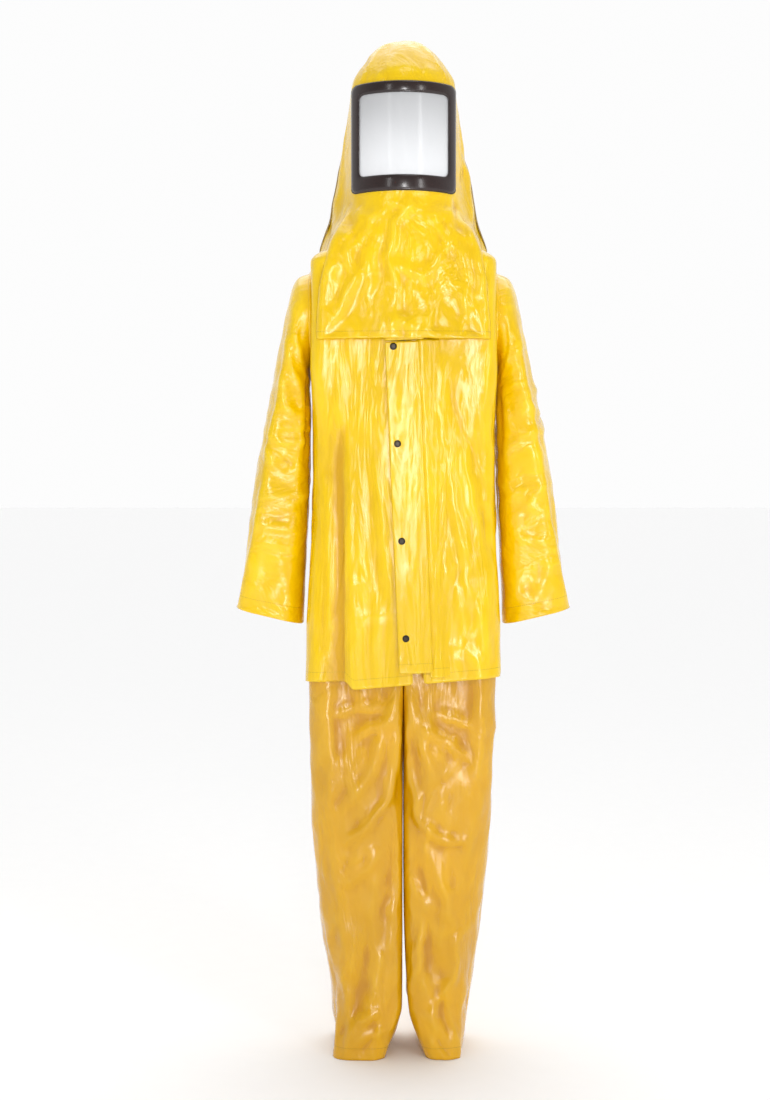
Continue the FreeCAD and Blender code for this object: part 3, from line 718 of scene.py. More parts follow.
class SUIT_OT_jacket(bpy.types.Operator):
    """Make the jacket's body with its hem"""
    bl_idname = "suit.jacket"
    bl_label = "Jacket body"

    def execute(self, context):
        cell = sizes().cell / MM
        drops = np.concatenate([np.linspace(0, SHOULDER, 11)[:-1],
                                np.linspace(SHOULDER, HEM, int((HEM - SHOULDER) / cell) + 1)])
        levels = np.array(JACKET_LEVELS, float)
        columns = int(1000 / cell)
        share = np.linspace(0, 1, columns + 1)
        place = np.zeros((len(drops), columns + 1, 3))
        for row, drop in enumerate(drops):
            half, front, back, corner = (flow(levels[:, 0], levels[:, k], drop) for k in range(1, 5))
            if drop > SHOULDER:
                front = front_plane(drop)
            left, right = closure_x(27, drop), closure_x(9, drop)
            set_back = 14 * float(ramp(230, 420, drop))
            line = jacket_outline((drop, half, front, back, corner), left, right, set_back)
            spot = along(line, share)
            place[row, :, :2] = spot
            low = float(ramp(520, HEM, drop))
            dip = np.interp(spot[:, 0], [-172, -96, -92, 165], [0, -2, 12, -10]) * (spot[:, 1] < 0)
            place[row, :, 2] = -drop - low * dip
        mesh = sheet_mesh(place)
        self.open_armholes(mesh, cell * MM)
        piece = new_piece("jacket_body", mesh, "jacket", finishes()["jacket"])
        x, y, z = places(piece)
        hold = np.full(len(x), 0.035)
        round_arm = np.hypot(y, z - ARMHOLE[1])
        hold = np.where((abs(x) > 146) & (round_arm < 92), 1.0, hold)
        hold = np.where(z > -66, 1.0, hold)
        near = np.minimum(abs(x - closure_x(27, -z)), abs(x - closure_x(9, -z)))
        hold = np.where((y < -90) & (near < 9), 1.0, hold)
        hold = np.where((y < -90) & (x > closure_x(-16, -z)) & (x < closure_x(70, -z)), 1.0, hold)
        hold = np.maximum(hold, 0.5 * ramp(-150, -80, z))
        hang(piece, spread(ends(piece.data), hold, 3), (sizes().slack, 0.008), 0.013)
        calm = under_flaps(piece)
        fold(piece, JACKET_FOLDS, calm=calm)
        crumple(piece, (30, 150), 1.5, 1, calm=calm)
        scatter(piece, 1.0,
                (5, 34, (330, 690), (20, 560), (90, 330), (0, 9), (1.6, 4.5), (7, 13)),
                (6, 20, (150, 330), (10, 420), (60, 220), (0, 14), (1.2, 3.4), (6, 10)),
                (7, 20, (690, 860), (10, 420), (60, 220), (0, 14), (1.2, 3.4), (6, 10)))
        scatter(piece, calm, (8, 26, (90, 330), (20, 520), (90, 300), (-4, 8), (1.4, 3.2), (5, 8), 0.5))
        x, y, z = places(piece)
        # Painted shade on the turned-back side of the right front, added to its fold shade.
        turned = ramp(CREASE + 1, CREASE - 6, x) * ramp(70, 30, y) * ramp(-240, -380, z)
        area = finish_cloth(piece, extra_painted_shade=0.75 * turned)
        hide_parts("jacket_back_panel", "jacket_left_front", "jacket_right_front", "jacket_hem_band")
        return {"FINISHED"}

    @staticmethod
    def open_armholes(mesh, cell):
        """Brings the nearest points to each armhole's round and opens it."""
        half, middle, radius = ARMHOLE[0] * MM, ARMHOLE[1] * MM, ARMHOLE[2] * MM
        inside = []
        for vert in mesh.verts:
            if abs(abs(vert.co.x) - half) < 0.004 and -0.24 < vert.co.z < -0.04:
                y, z = vert.co.y, vert.co.z - middle
                away = math.hypot(y, z)
                if radius - 0.62 * cell < away < radius + 0.5 * cell:
                    vert.co.y, vert.co.z = y * radius / away, middle + z * radius / away
                    vert.co.x = math.copysign(half, vert.co.x)
        for face in mesh.faces:
            spot = face.calc_center_median()
            if abs(spot.x) > half - 0.006 and math.hypot(spot.y, spot.z - middle) < radius - 0.0006:
                inside.append(face)
        bmesh.ops.delete(mesh, geom=inside, context="FACES")


class SUIT_OT_armholes(bpy.types.Operator):
    """Make the welded seam round each armhole"""
    bl_idname = "suit.armholes"
    bl_label = "Armhole seams"

    def execute(self, context):
        for side, sign in (("right", -1), ("left", 1)):
            mesh = bmesh.new()
            start = Vector((sign * 159.0, 0, ARMHOLE[1] + WELT_ROUND)) * MM
            circle = bmesh.ops.create_circle(mesh, segments=10, radius=sizes().welt)["verts"]
            for vert in circle:
                vert.co = start + Vector((vert.co.x * 1.5, 0, vert.co.y))
            bmesh.ops.spin(mesh, geom=mesh.verts[:] + mesh.edges[:], cent=Vector((0, 0, ARMHOLE[1])) * MM,
                           axis=(1, 0, 0), angle=math.tau, steps=96, use_merge=True)
            bmesh.ops.recalc_face_normals(mesh, faces=mesh.faces)
            piece = new_piece("armhole_welt_" + side, mesh, "jacket", finishes()["plain"],
                              0.00005)
            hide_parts("armhole_binding_" + side)
        return {"FINISHED"}


# ---- sleeves -------------------------------------------------------------------------------------
# From the armhole's centre: inner out, inner drop, outer out, outer drop, half depth.
SLEEVE_LEVELS = [
    (-1.5, 77.5, -1.5, -77.5, 77.5), (0.4, 88, 22, -70, 79.5), (1, 96, 45, -16, 78), (0, 113, 64, 60, 75),
    (-1.5, 163, 83, 148, 71), (-1.5, 213, 95, 213, 68), (0, 263, 104, 263, 66), (6, 363, 117, 358, 63),
    (15, 531, 132, 503, 60),
]
SLEEVE_HEAD = (160.0, -137.0)             # x and z of the sleeve's top end
RIGHT_SLEEVE_FOLDS = [
    ([(-196, -96), (-186, -160), (-170, -225), (-158, -262)], 4.0, 7, False),
    ([(-206, -120), (-194, -215), (-172, -290), (-150, -334)], 4.2, 8, False),
    ([(-222, -200), (-206, -280), (-178, -330)], 3.2, 8, False),
    ([(-240, -330), (-205, -352), (-150, -350)], 4.5, 7, True),
    ([(-238, -352), (-226, -395), (-200, -408), (-178, -400)], 4.2, 7, False),
    ([(-236, -352), (-210, -378), (-186, -392)], -3.5, 6, False),
    ([(-246, -430), (-214, -446), (-166, -440)], 3.4, 7, True),
    ([(-258, -492), (-217, -502), (-168, -512)], 4.4, 6, True),
    ([(-224, -512), (-214, -560), (-206, -600)], 3.0, 9, False),
    ([(-238, -520), (-222, -575), (-226, -650)], 2.6, 8, False),
]
LEFT_SLEEVE_FOLDS = [
    ([(158, -150), (166, -190), (173, -224)], 4.0, 6, True),
    ([(214, -168), (196, -200), (174, -224)], 4.2, 7, True),
    ([(206, -96), (222, -170), (240, -250)], 3.2, 8, False),
    ([(161, -376), (200, -353), (254, -322)], 5.0, 7, True),
    ([(172, -300), (186, -330), (206, -348)], 3.6, 7, False),
    ([(168, -250), (196, -262), (222, -300)], 3.2, 8, False),
    ([(210, -458), (236, -432), (262, -420)], 4.0, 7, True),
    ([(196, -440), (216, -462), (250, -470)], 3.4, 7, False),
    ([(186, -514), (220, -520), (256, -530)], 4.6, 6, True),
    ([(206, -548), (228, -600), (236, -655)], 3.2, 8, False),
    ([(252, -556), (238, -600), (226, -650)], 3.0, 8, False),
]


class SUIT_OT_sleeves(bpy.types.Operator):
    """Make both sleeves with their cuffs"""
    bl_idname = "suit.sleeves"
    bl_label = "Sleeves"

    def execute(self, context):
        cell = sizes().cell / MM * 0.86
        levels = np.array(SLEEVE_LEVELS, float)
        mids = np.stack([(levels[:, 0] + levels[:, 2]) / 2, (levels[:, 1] + levels[:, 3]) / 2], 1)
        reach = np.concatenate([[0], np.cumsum(np.linalg.norm(np.diff(mids, axis=0), axis=1))])
        rows = int(reach[-1] / cell)
        at = np.linspace(0, reach[-1], rows + 1)
        curve = [flow(reach, levels[:, k], at) for k in range(5)]
        columns = 58
        turn = np.linspace(0, math.tau, columns + 1)
        for side, sign, folds, seed in (("right", -1, RIGHT_SLEEVE_FOLDS, 11),
                                        ("left", 1, LEFT_SLEEVE_FOLDS, 12)):
            place = np.zeros((rows + 1, columns + 1, 3))
            for row in range(rows + 1):
                inner_out, inner_drop, outer_out, outer_drop, deep = (c[row] for c in curve)
                flat = 2.0 + 0.9 * float(ramp(30, 250, at[row]))
                s, c = np.sin(turn), -np.cos(turn)
                c = np.sign(c) * abs(c) ** (2 / flat)
                s = np.sign(s) * abs(s) ** (2 / flat)
                out = (inner_out + outer_out) / 2 + c * (outer_out - inner_out) / 2
                drop = (inner_drop + outer_drop) / 2 + c * (outer_drop - inner_drop) / 2
                place[row, :, 0] = sign * (SLEEVE_HEAD[0] + out)
                place[row, :, 1] = -s * deep
                place[row, :, 2] = SLEEVE_HEAD[1] - drop
            if sign > 0:
                place = place[:, ::-1]
            mesh = sheet_mesh(place)
            piece = new_piece("sleeve_" + side, mesh, None, finishes()["sleeve"])
            x, y, z = places(piece)
            head = np.hypot(y, z - SLEEVE_HEAD[1])
            hold = np.full(len(x), 0.05)
            hold = np.where((abs(x) < 166) & (z > -240), 1.0, hold)
            hold = np.where(rim(piece.data) & (z < -500), 0.6, hold)
            hang(piece, spread(ends(piece.data), hold, 2), (0.018, sizes().slack * 1.3), 0.009, 0.25)
            x, y, z = places(piece)
            calm = 1 - 0.85 * ramp(176, 162, abs(x)) * (z > -240)
            fold(piece, folds, calm=calm)
            crumple(piece, (60, 40), 1.6, seed, calm=calm)
            scatter(piece, calm,
                    (seed, 18, (-20, 420), (190, 420), (60, 150), (86, 14), (2, 4.6), (6, 9), 0.5),
                    (seed + 9, 12, (-20, 420), (60, 640), (60, 200), (8, 12), (1.2, 3), (6, 10)))
            area = finish_cloth(piece)
            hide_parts(side + "_upper_sleeve", side + "_lower_sleeve", side + "_cuff_hem")
            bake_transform(piece)
        return {"FINISHED"}


# ---- trousers ------------------------------------------------------------------------------------
LEG_DROPS = (430, 560, 700, 790, 940, 1155, 1330, 1420)
LEG_FRONT = (-98, -104, -107, -105, -88, -72, -72, -80)
LEG_BACK = (100, 106, 109, 108, 92, 85, 88, 95)
LEG_OUT = {-1: (138, 158, 166, 165, 162, 147, 118, 122), 1: (138, 156, 163, 162, 157, 136, 108, 98)}
LEG_IN = {-1: (0.2, 0.2, 0.2, 0.3, 0.6, 0.8, 1.5, 30), 1: (0.2, 0.2, 0.2, 0.3, 0.6, 1.2, 8, 38)}
SEAM_SPLIT, SEAM_FOOT = 690.0, 792.0
RIGHT_LEG_FOLDS = [
    ([(-3, -770), (-10, -880), (-33, -979), (-54, -1005), (-107, -1041)], 6.5, 9, False),
    ([(-6, -760), (-30, -850), (-62, -930), (-108, -990)], 3.6, 10, False),
    ([(-4, -830), (-20, -905)], 3.2, 7, True),
    ([(-10, -815), (-52, -838), (-88, -868)], 3.4, 9, False),
    ([(-20, -800), (-76, -806), (-118, -822)], 3.0, 9, False),
    ([(-90, -765), (-72, -806)], 3.4, 7, True),
    ([(-40, -1049), (-70, -1088), (-96, -1122)], 3.4, 9, False),
    ([(-124, -740), (-125, -880), (-122, -1030)], 3.0, 6, True),
    ([(-128, -1040), (-112, -1110), (-104, -1180)], 3.6, 8, True),
    ([(-116, -1160), (-99, -1225), (-94, -1337), (-98, -1415)], 4.6, 7, True),
    ([(-36, -1060), (-52, -1160), (-58, -1290)], 2.6, 10, False),
    ([(-22, -1100), (-32, -1230), (-30, -1320)], -3.0, 9, False),
    ([(-84, -1352), (-62, -1346), (-36, -1336)], 4.4, 6, True),
    ([(-84, -1386), (-60, -1374), (-26, -1372)], 3.0, 6, True),
    ([(-28, -1290), (-40, -1350), (-58, -1410)], 3.0, 8, False),
]
LEFT_LEG_FOLDS = [
    ([(3, -770), (6, -900), (26, -997), (56, -1027), (77, -1038), (118, -1042)], 6.5, 8, False),
    ([(6, -780), (30, -860), (58, -940), (70, -1000)], 3.4, 10, False),
    ([(4, -830), (16, -905)], 3.2, 7, True),
    ([(74, -862), (96, -880), (118, -894)], 4.2, 7, True),
    ([(36, -842), (66, -858), (92, -862)], 3.4, 8, False),
    ([(50, -815), (84, -822), (116, -838)], 3.0, 8, False),
    ([(40, -740), (41, -900), (43, -1060)], 2.4, 6, True),
    ([(130, -740), (131, -880), (128, -1000)], 3.0, 6, True),
    ([(40, -1040), (62, -1110), (93, -1197)], 4.2, 8, True),
    ([(4, -1094), (37, -1151), (34, -1200), (19, -1281), (10, -1314)], 4.4, 8, False),
    ([(10, -1120), (46, -1160), (60, -1230)], 3.0, 8, False),
    ([(124, -1178), (96, -1207), (86, -1281), (58, -1321), (56, -1351)], 4.8, 7, True),
    ([(112, -1210), (104, -1290), (98, -1380)], 3.0, 7, False),
    ([(42, -1330), (54, -1352), (50, -1400)], 3.4, 7, True),
    ([(60, -1280), (84, -1340), (90, -1410)], 3.0, 7, False),
]


def leg_outline(inner, outer, front, back, inner_corner, outer_corner):
    """One level of a trouser leg: the outer run from the front seam to the back one, and the run home."""
    out = bend(inner + inner_corner, front + inner_corner, inner_corner, -135, -90, 5)
    out += bend(outer - outer_corner, front + outer_corner, outer_corner, -90, 0)
    out += bend(outer - outer_corner, back - outer_corner, outer_corner, 0, 90)
    out += bend(inner + inner_corner, back - inner_corner, inner_corner, 90, 135, 5)
    home = bend(inner + inner_corner, back - inner_corner, inner_corner, 135, 180, 5)
    home += bend(inner + inner_corner, front + inner_corner, inner_corner, 180, 225, 5)
    return out, home


class SUIT_OT_trousers(bpy.types.Operator):
    """Make the trousers, one piece for each leg, joined down the middle"""
    bl_idname = "suit.trousers"
    bl_label = "Trousers"

    def execute(self, context):
        cell = sizes().cell / MM
        wrap, inside = int(520 / cell), int(200 / cell)
        above = np.linspace(LEG_DROPS[0], SEAM_SPLIT, int((SEAM_SPLIT - 430) / cell) + 1)
        below = int((1420 - SEAM_SPLIT) / cell)
        for side, sign, folds, seed in (("right", -1, RIGHT_LEG_FOLDS, 31), ("left", 1, LEFT_LEG_FOLDS, 32)):
            def level(drop):
                front, back = (float(flow(LEG_DROPS, side_of, drop)) for side_of in (LEG_FRONT, LEG_BACK))
                outer, inner = (float(flow(LEG_DROPS, of[sign], drop)) for of in (LEG_OUT, LEG_IN))
                sharp = 0.4 + 27 * float(ramp(SEAM_SPLIT, 900, drop))
                round_out = 34 - 8 * float(ramp(1200, 1400, drop))
                if drop > 1330:
                    sharp = min(sharp, (outer - inner) / 2 - 2)
                    round_out = min(round_out, (outer - inner) / 2 - 2)
                return leg_outline(inner, outer, front, back, sharp, round_out)
            top = np.zeros((len(above), wrap + 1, 3))
            for row, drop in enumerate(above):
                spot = along(level(drop)[0], np.linspace(0, 1, wrap + 1))
                spot[0, 0] = spot[-1, 0] = 0.0
                top[row, :, :2], top[row, :, 2] = spot, -drop
            low = np.zeros((below + 1, wrap + inside + 1, 3))
            tops = np.concatenate([np.full(wrap, SEAM_SPLIT), SEAM_SPLIT + (SEAM_FOOT - SEAM_SPLIT)
                                   * np.sin(np.linspace(0, math.pi, inside + 1)) ** 0.6])
            for row in range(below + 1):
                share = row / below
                drops = tops + share * (1420 - tops)
                for column in range(wrap, wrap + inside + 1):
                    home = level(drops[column])[1]
                    low[row, column, :2] = along(home, [(column - wrap) / inside])[0]
                low[row, :wrap, :2] = along(level(drops[0])[0], np.linspace(0, 1, wrap + 1))[:-1]
                low[row, :, 2] = -drops
            low[0, 0, 0] = low[0, wrap, 0] = low[0, -1, 0] = 0.0
            top[:, :, 0] *= sign
            low[:, :, 0] *= sign
            cut_top, cut_low = cut_map(top), cut_map(low)
            cut_top[:, :, 1] += 1420 - SEAM_SPLIT
            if sign < 0:
                top, low, cut_top, cut_low = (a[:, ::-1] for a in (top, low, cut_top, cut_low))
            mesh = bmesh.new()
            cut = mesh.loops.layers.uv.new("cut")
            lay_grid(mesh, cut, top, cut_top)
            lay_grid(mesh, cut, low, cut_low)
            piece = new_piece("trouser_leg_" + side, mesh, None, finishes()["trousers"], 0.0009)
            x, y, z = places(piece)
            hold = np.full(len(x), 0.05)
            hold = np.where(rim(piece.data) & (z > -1400), 1.0, hold)
            hold = np.where((z > -500), np.maximum(hold, ramp(-540, -440, z)), hold)
            hold = np.where(rim(piece.data) & (z < -1400), 0.5, hold)
            hold = np.where((abs(x) < 5) & (z > -1330), 1.0, hold)
            hang(piece, spread(ends(piece.data), hold, 1), (sizes().slack, sizes().slack * 0.5), 0.010, 0.2)
            x, y, z = places(piece)
            calm = 1 - 0.9 * ramp(9, 3, abs(x)) * (z > -1340)
            fold(piece, folds, calm=1.35 * calm)
            crumple(piece, (46, 110), 2.2, seed, calm=calm)
            scatter(piece, calm,
                    (seed, 12, (230, 520), (380, 640), (60, 200), (60, 40), (2, 5), (7, 11), 0.4),
                    (seed + 9, 26, (150, 640), (20, 760), (80, 260), (0, 14), (1.5, 4.5), (7, 12)),
                    (seed + 19, 30, (0, 240), (20, 760), (60, 240), (6, 22), (1.2, 3), (6, 9), 0.5))
            # contrast 1.7 strengthens the painted fold shade and painted highlight on the trousers.
            area = finish_cloth(piece, contrast=1.7)
            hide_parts(f"trousers_{side}_front", f"trousers_{side}_back", side + "_shin_front",
                        side + "_shin_back", side + "_leg_hem")
            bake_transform(piece)
        return {"FINISHED"}


# ---- hood ----------------------------------------------------------------------------------------
HOOD_LEVELS = [             # z, face half width, face corner y, face y, side half width, side y, back y
    (-182, 147, -121.5, -126, 156, 0, 145), (-100, 142, -119, -124, 154, 0, 142),
    (-50, 134, -116, -122, 151, 2, 139), (-10, 122, -108, -120, 145, 8, 135),
    (56, 88, -64.5, -117, 125, 20, 122), (256, 88, -64.5, -117, 89, 10, 104), (282, 72, -60, -102, 76, 8, 94),
    (315, 48, -45, -68, 52, 5, 72), (332, 22, -25, -36, 26, 3, 42), (338, 6, -8, -10, 8, 2, 13),
]
FACE_COLUMNS, SIDE_COLUMNS, BACK_COLUMNS = 44, 14, 56
BROW, CHIN, APEX = 256, 56, 338
VISOR_AXIS, VISOR_RADIUS = -17.0, 101.0
VISOR_OUTSIDE = (89, 64, 246, 10)        # half width, foot, top, corner
VISOR_INSIDE = (74.6, 91, 226, 7)
HOOD_FOLDS = [
    ([(0, 58), (19, 45), (-14, 12), (-30, -47), (-9, -100), (-9, -134)], 5.5, 7, False),
    ([(19, 45), (2, 40), (-22, 44)], 3.2, 6, True),
    ([(-24, -56), (6, -70), (34, -78), (62, -36), (88, 8)], 4.6, 8, False),
    ([(-114, 26), (-96, -26), (-80, -77), (-98, -116), (-122, -158)], 5.5, 8, False),
    ([(-30, -164), (-8, -150), (20, -170)], 4.0, 9, False),
    ([(24, -172), (54, -176), (80, -172)], 3.0, 7, False),
    ([(92, 0), (100, -60), (104, -120), (102, -178)], 4.4, 8, False),
    ([(118, 20), (126, -50), (128, -120)], 4.2, 8, False),
    ([(108, 64), (116, 10), (112, -30)], 3.4, 7, False),
    ([(-108, 90), (-118, 30), (-130, -30)], 3.4, 7, False),
    ([(-98, 40), (-60, 20), (-30, 30)], 2.8, 8, False),
    ([(40, 30), (70, 24), (96, 34)], 2.8, 8, False),
    ([(-60, -30), (-54, -90), (-64, -150)], 3.0, 10, False),
    ([(40, -100), (46, -140), (40, -176)], 2.8, 9, False),
    ([(-50, 262), (0, 268), (50, 262)], 1.8, 6, False),
]


def hood_groups(values):
    """A level of the hood as four runs: face, left side, back, right side."""
    face_half, face_corner, face, side_half, side_y, back = values

    def arc(a, middle, b):
        (ax, ay), (mx, my), (bx, by) = a, middle, b
        half, rise = abs(bx - ax) / 2, abs(ay - my)
        radius = (half ** 2 + rise ** 2) / (2 * max(rise, 0.01))
        sign = 1 if my > ay else -1
        reach = math.asin(min(1, half / radius))
        if rise >= half:
            reach = math.pi - reach
        turn = np.linspace(-reach, reach, 60) * (1 if bx > ax else -1)
        return [(radius * math.sin(t), my - sign * radius * (1 - math.cos(t))) for t in turn]
    face_run = arc((-face_half, face_corner), (0, face), (face_half, face_corner))
    back_run = arc((side_half, side_y), (0, back), (-side_half, side_y))
    return [face_run, [face_run[-1], back_run[0]], back_run, [back_run[-1], face_run[0]]]


def hood_ring(z):
    """The hood's 128 points at a height, closed by a repeat of the first."""
    levels = np.array(HOOD_LEVELS, float)
    values = [float(flow(levels[:, 0], levels[:, k], z)) for k in range(1, 7)]
    if CHIN <= z <= BROW:
        values[0], values[1], values[2] = 88, -64.5, -117
    runs = hood_groups(values)
    counts = (FACE_COLUMNS, SIDE_COLUMNS, BACK_COLUMNS, SIDE_COLUMNS)
    ring = [along(run, np.linspace(0, 1, count + 1))[:-1] for run, count in zip(runs, counts)]
    ring = np.concatenate(ring)
    ring = np.concatenate([ring, ring[:1]])
    return np.column_stack([ring, np.full(len(ring), z)])


class SUIT_OT_hood(bpy.types.Operator):
    """Make the hood with its bibs and crown"""
    bl_idname = "suit.hood"
    bl_label = "Hood"

    def execute(self, context):
        heights = np.concatenate([np.linspace(BROW, CHIN, 37), np.linspace(CHIN, -182, 40)[1:]])
        place = np.array([hood_ring(z) for z in heights])
        ring = place.shape[1] - 1
        quarter = ring // 4
        crown = np.zeros((quarter + 1, quarter + 1, 3))
        rows = quarter // 2
        rise = [(APEX - BROW) * math.sin(math.pi / 2 * (1 - step / rows)) for step in range(rows + 1)]
        shells = [hood_ring(min(APEX - 0.1, BROW + height))[:-1] for height in rise]
        for row in range(quarter + 1):
            for column in range(quarter + 1):
                x, y = column - rows, row - rows
                step = max(abs(x), abs(y))
                if step == 0:
                    crown[row, column] = (0, 1, APEX)
                    continue
                if y == -step and x < step:
                    at = (x + step) / (2 * step)
                elif x == step and y < step:
                    at = 1 + (y + step) / (2 * step)
                elif y == step and x > -step:
                    at = 2 + (step - x) / (2 * step)
                else:
                    at = 3 + (step - y) / (2 * step)
                spot = (at / 4 * ring + 6) % ring
                low = int(spot)
                mix = spot - low
                shell = shells[step]
                crown[row, column] = shell[low] * (1 - mix) + shell[(low + 1) % ring] * mix
        mesh = bmesh.new()
        cut = mesh.loops.layers.uv.new("cut")
        sides = place[:, ::-1]
        lay_grid(mesh, cut, sides, cut_map(sides))
        squares = np.arange(quarter + 1) * 5.0
        cut_crown = np.stack(np.meshgrid(squares, squares + 450), -1)
        lay_grid(mesh, cut, crown, cut_crown)
        bmesh.ops.remove_doubles(mesh, verts=mesh.verts, dist=0.0006)
        self.open_up(mesh)
        bmesh.ops.recalc_face_normals(mesh, faces=mesh.faces)
        soft = [vert for vert in mesh.verts if not self.by_frame(vert.co)]
        for _ in range(5):
            bmesh.ops.smooth_vert(mesh, verts=soft, factor=0.5, use_axis_x=True, use_axis_y=True,
                                  use_axis_z=False)
        piece = new_piece("hood_shell", mesh, "hood", finishes()["hood"])
        x, y, z = places(piece)
        hold = np.full(len(x), 0.06)
        hold = np.where(self.frame_zone(x, y, z, 12), 1.0, hold)
        hold = np.where((z < -40) & rim(piece.data), 0.35, hold)
        hold = np.maximum(hold, 0.35 * ramp(258, 300, z))
        hang(piece, spread(ends(piece.data), hold, 1), (sizes().slack, 0.012), 0.008, 0.15)
        x, y, z = places(piece)
        calm = 1 - 0.92 * spread(ends(piece.data), self.frame_zone(x, y, z, 4).astype(float), 1)
        fold(piece, HOOD_FOLDS, calm=calm)
        crumple(piece, (44, 56), 1.3, 3, calm=calm)
        crumple(piece, (13, 13), 1.5, 4, calm=calm * ramp(262, 285, z))
        scatter(piece, calm,
                (41, 22, (280, 620), (10, 430), (60, 240), (0, 16), (1.6, 4.2), (7, 12)),
                (42, 60, (0, 160), (450, 610), (14, 50), (20, 60), (0.8, 1.9), (3, 6), 0.3))
        area = finish_cloth(piece)
        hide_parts("hood_face_panel", "hood_front_bib", "hood_back_panel", "hood_hem")
        return {"FINISHED"}

    @staticmethod
    def frame_zone(x, y, z, more):
        return (abs(x) < 89 + more) & (y < -17) & (z > 64 - more) & (z < 246 + more)

    def by_frame(self, spot):
        x, y, z = (c / MM for c in spot)
        return bool(self.frame_zone(x, y, z, 2))

    @staticmethod
    def open_up(mesh):
        """Opens the face for the window and the sides over the shoulders."""
        gone = []
        for face in mesh.faces:
            x, y, z = (c / MM for c in face.calc_center_median())
            window = abs(x) < 79 and y < -60 and 86 < z < 231
            corner = math.hypot(max(0, abs(y - 12) - 70), max(0, z + 58))
            shoulder = z < -40 and abs(x) > 120 and -106 < y < 108 and (z < -58 or corner < 22)
            if window or shoulder:
                gone.append(face)
        bmesh.ops.delete(mesh, geom=gone, context="FACES")


class SUIT_OT_crown_welt(bpy.types.Operator):
    """Make the welted seam over the hood's crown"""
    bl_idname = "suit.crown_welt"
    bl_label = "Crown welt"

    def execute(self, context):
        points = read(bpy.data.objects["hood_shell"].data) / MM
        seam = points[(abs(points[:, 1] - 5) < 5) & (points[:, 2] > -34)]
        turn = np.arctan2(seam[:, 0], seam[:, 2] - 120)
        far = np.hypot(seam[:, 0], seam[:, 2] - 120)
        marks = np.linspace(turn.min() + 0.01, turn.max() - 0.01, 150)
        reach = np.array([self.outer(turn - mark, far) for mark in marks])
        reach = np.convolve(np.pad(reach, 1, mode="edge"), np.ones(3) / 3, "valid")
        whole = along(np.column_stack([reach * np.sin(marks), 120 + reach * np.cos(marks)])[::-1],
                      np.linspace(0, 1, 220))
        tangent = np.gradient(whole, axis=0)
        out = np.stack([tangent[:, 1], -tangent[:, 0]], 1)
        out /= np.linalg.norm(out, axis=1)[:, None]
        profile = [(-4.2, -0.6), (-3.4, 1.1), (-1.2, 2.1), (1.2, 2.1), (3.4, 1.1), (4.2, -0.6), (-4.2, -0.6)]
        place = np.zeros((len(whole), len(profile), 3))
        for column, (wide, tall) in enumerate(profile):
            spot = whole + out * tall
            place[:, column] = np.column_stack([spot[:, 0], np.full(len(spot), 5 + wide), spot[:, 1]])
        mesh = sheet_mesh(place)
        bmesh.ops.remove_doubles(mesh, verts=mesh.verts, dist=0.0001)
        bmesh.ops.holes_fill(mesh, edges=mesh.edges, sides=8)
        bmesh.ops.recalc_face_normals(mesh, faces=mesh.faces)
        piece = new_piece("crown_welt", mesh, "hood", finishes()["welt"], 0)
        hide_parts("hood_crown_welt")
        return {"FINISHED"}

    @staticmethod
    def outer(turn, far):
        """How far out the cloth's outer side is at a turn of 0, from the points near it."""
        near = abs(turn) < 0.04
        slope, level = np.polyfit(turn[near], far[near], 1)
        return level + 0.3


class SUIT_OT_visor(bpy.types.Operator):
    """Make the moulded surround of the visor"""
    bl_idname = "suit.visor"
    bl_label = "Visor surround"

    def execute(self, context):
        def outline(half, foot, top, corner, count=128):
            middle = (foot + top) / 2
            line = bend(half - corner, top - corner, corner, 90, 0, 9)
            line += bend(half - corner, foot + corner, corner, 0, -90, 9)
            line += bend(corner - half, foot + corner, corner, -90, -180, 9)
            line += bend(corner - half, top - corner, corner, 180, 90, 9)
            line += [line[0]]
            return along(line, np.linspace(0, 1, count + 1))
        outer, inner = outline(*VISOR_OUTSIDE), outline(*VISOR_INSIDE)
        profile = [(0.0, 0.0), (0.02, 1.6), (0.08, 2.9), (0.20, 3.5), (0.5, 3.7), (0.80, 3.4), (0.93, 2.6),
                   (0.99, 1.2), (1.0, 0.0)]
        thick = sizes().visor_bar / MM / 3.5
        place = np.zeros((len(profile) + 1, len(outer), 3))
        for row, (share, tall) in enumerate(profile + [(0.0, 0.0)]):
            flat = outer * (1 - share) + inner * share
            radius = VISOR_RADIUS + tall * thick
            x = flat[:, 0]
            place[row] = np.column_stack([x, VISOR_AXIS - np.sqrt(radius ** 2 - x ** 2), flat[:, 1]])
        mesh = sheet_mesh(place)
        bmesh.ops.remove_doubles(mesh, verts=mesh.verts, dist=0.0001)
        bmesh.ops.recalc_face_normals(mesh, faces=mesh.faces)
        piece = new_piece("visor_surround", mesh, "hood", finishes()["surround"], 0)
        round_off(piece)
        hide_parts("visor_frame")
        return {"FINISHED"}


# ---- closure and collar --------------------------------------------------------------------------
FLAP_LEFT, FLAP_RIGHT = -14, 43.5
FLAP_TOP, FLAP_FOOT = 188, 745
SNAP_DROP, SNAP_PITCH = 196, 163.33


def on_closure(u, out, drop):
    """A place on the jacket's closure: across, out from the front and down."""
    lean, turn = -math.atan(FRONT_LEAN), -math.atan(CLOSURE_LEAN)
    x, y, z = u, -out, -drop
    y, z = y * math.cos(lean) - z * math.sin(lean), y * math.sin(lean) + z * math.cos(lean)
    x, z = x * math.cos(turn) + z * math.sin(turn), -x * math.sin(turn) + z * math.cos(turn)
    return x + CLOSURE_X, y + CLOSURE_Y, z


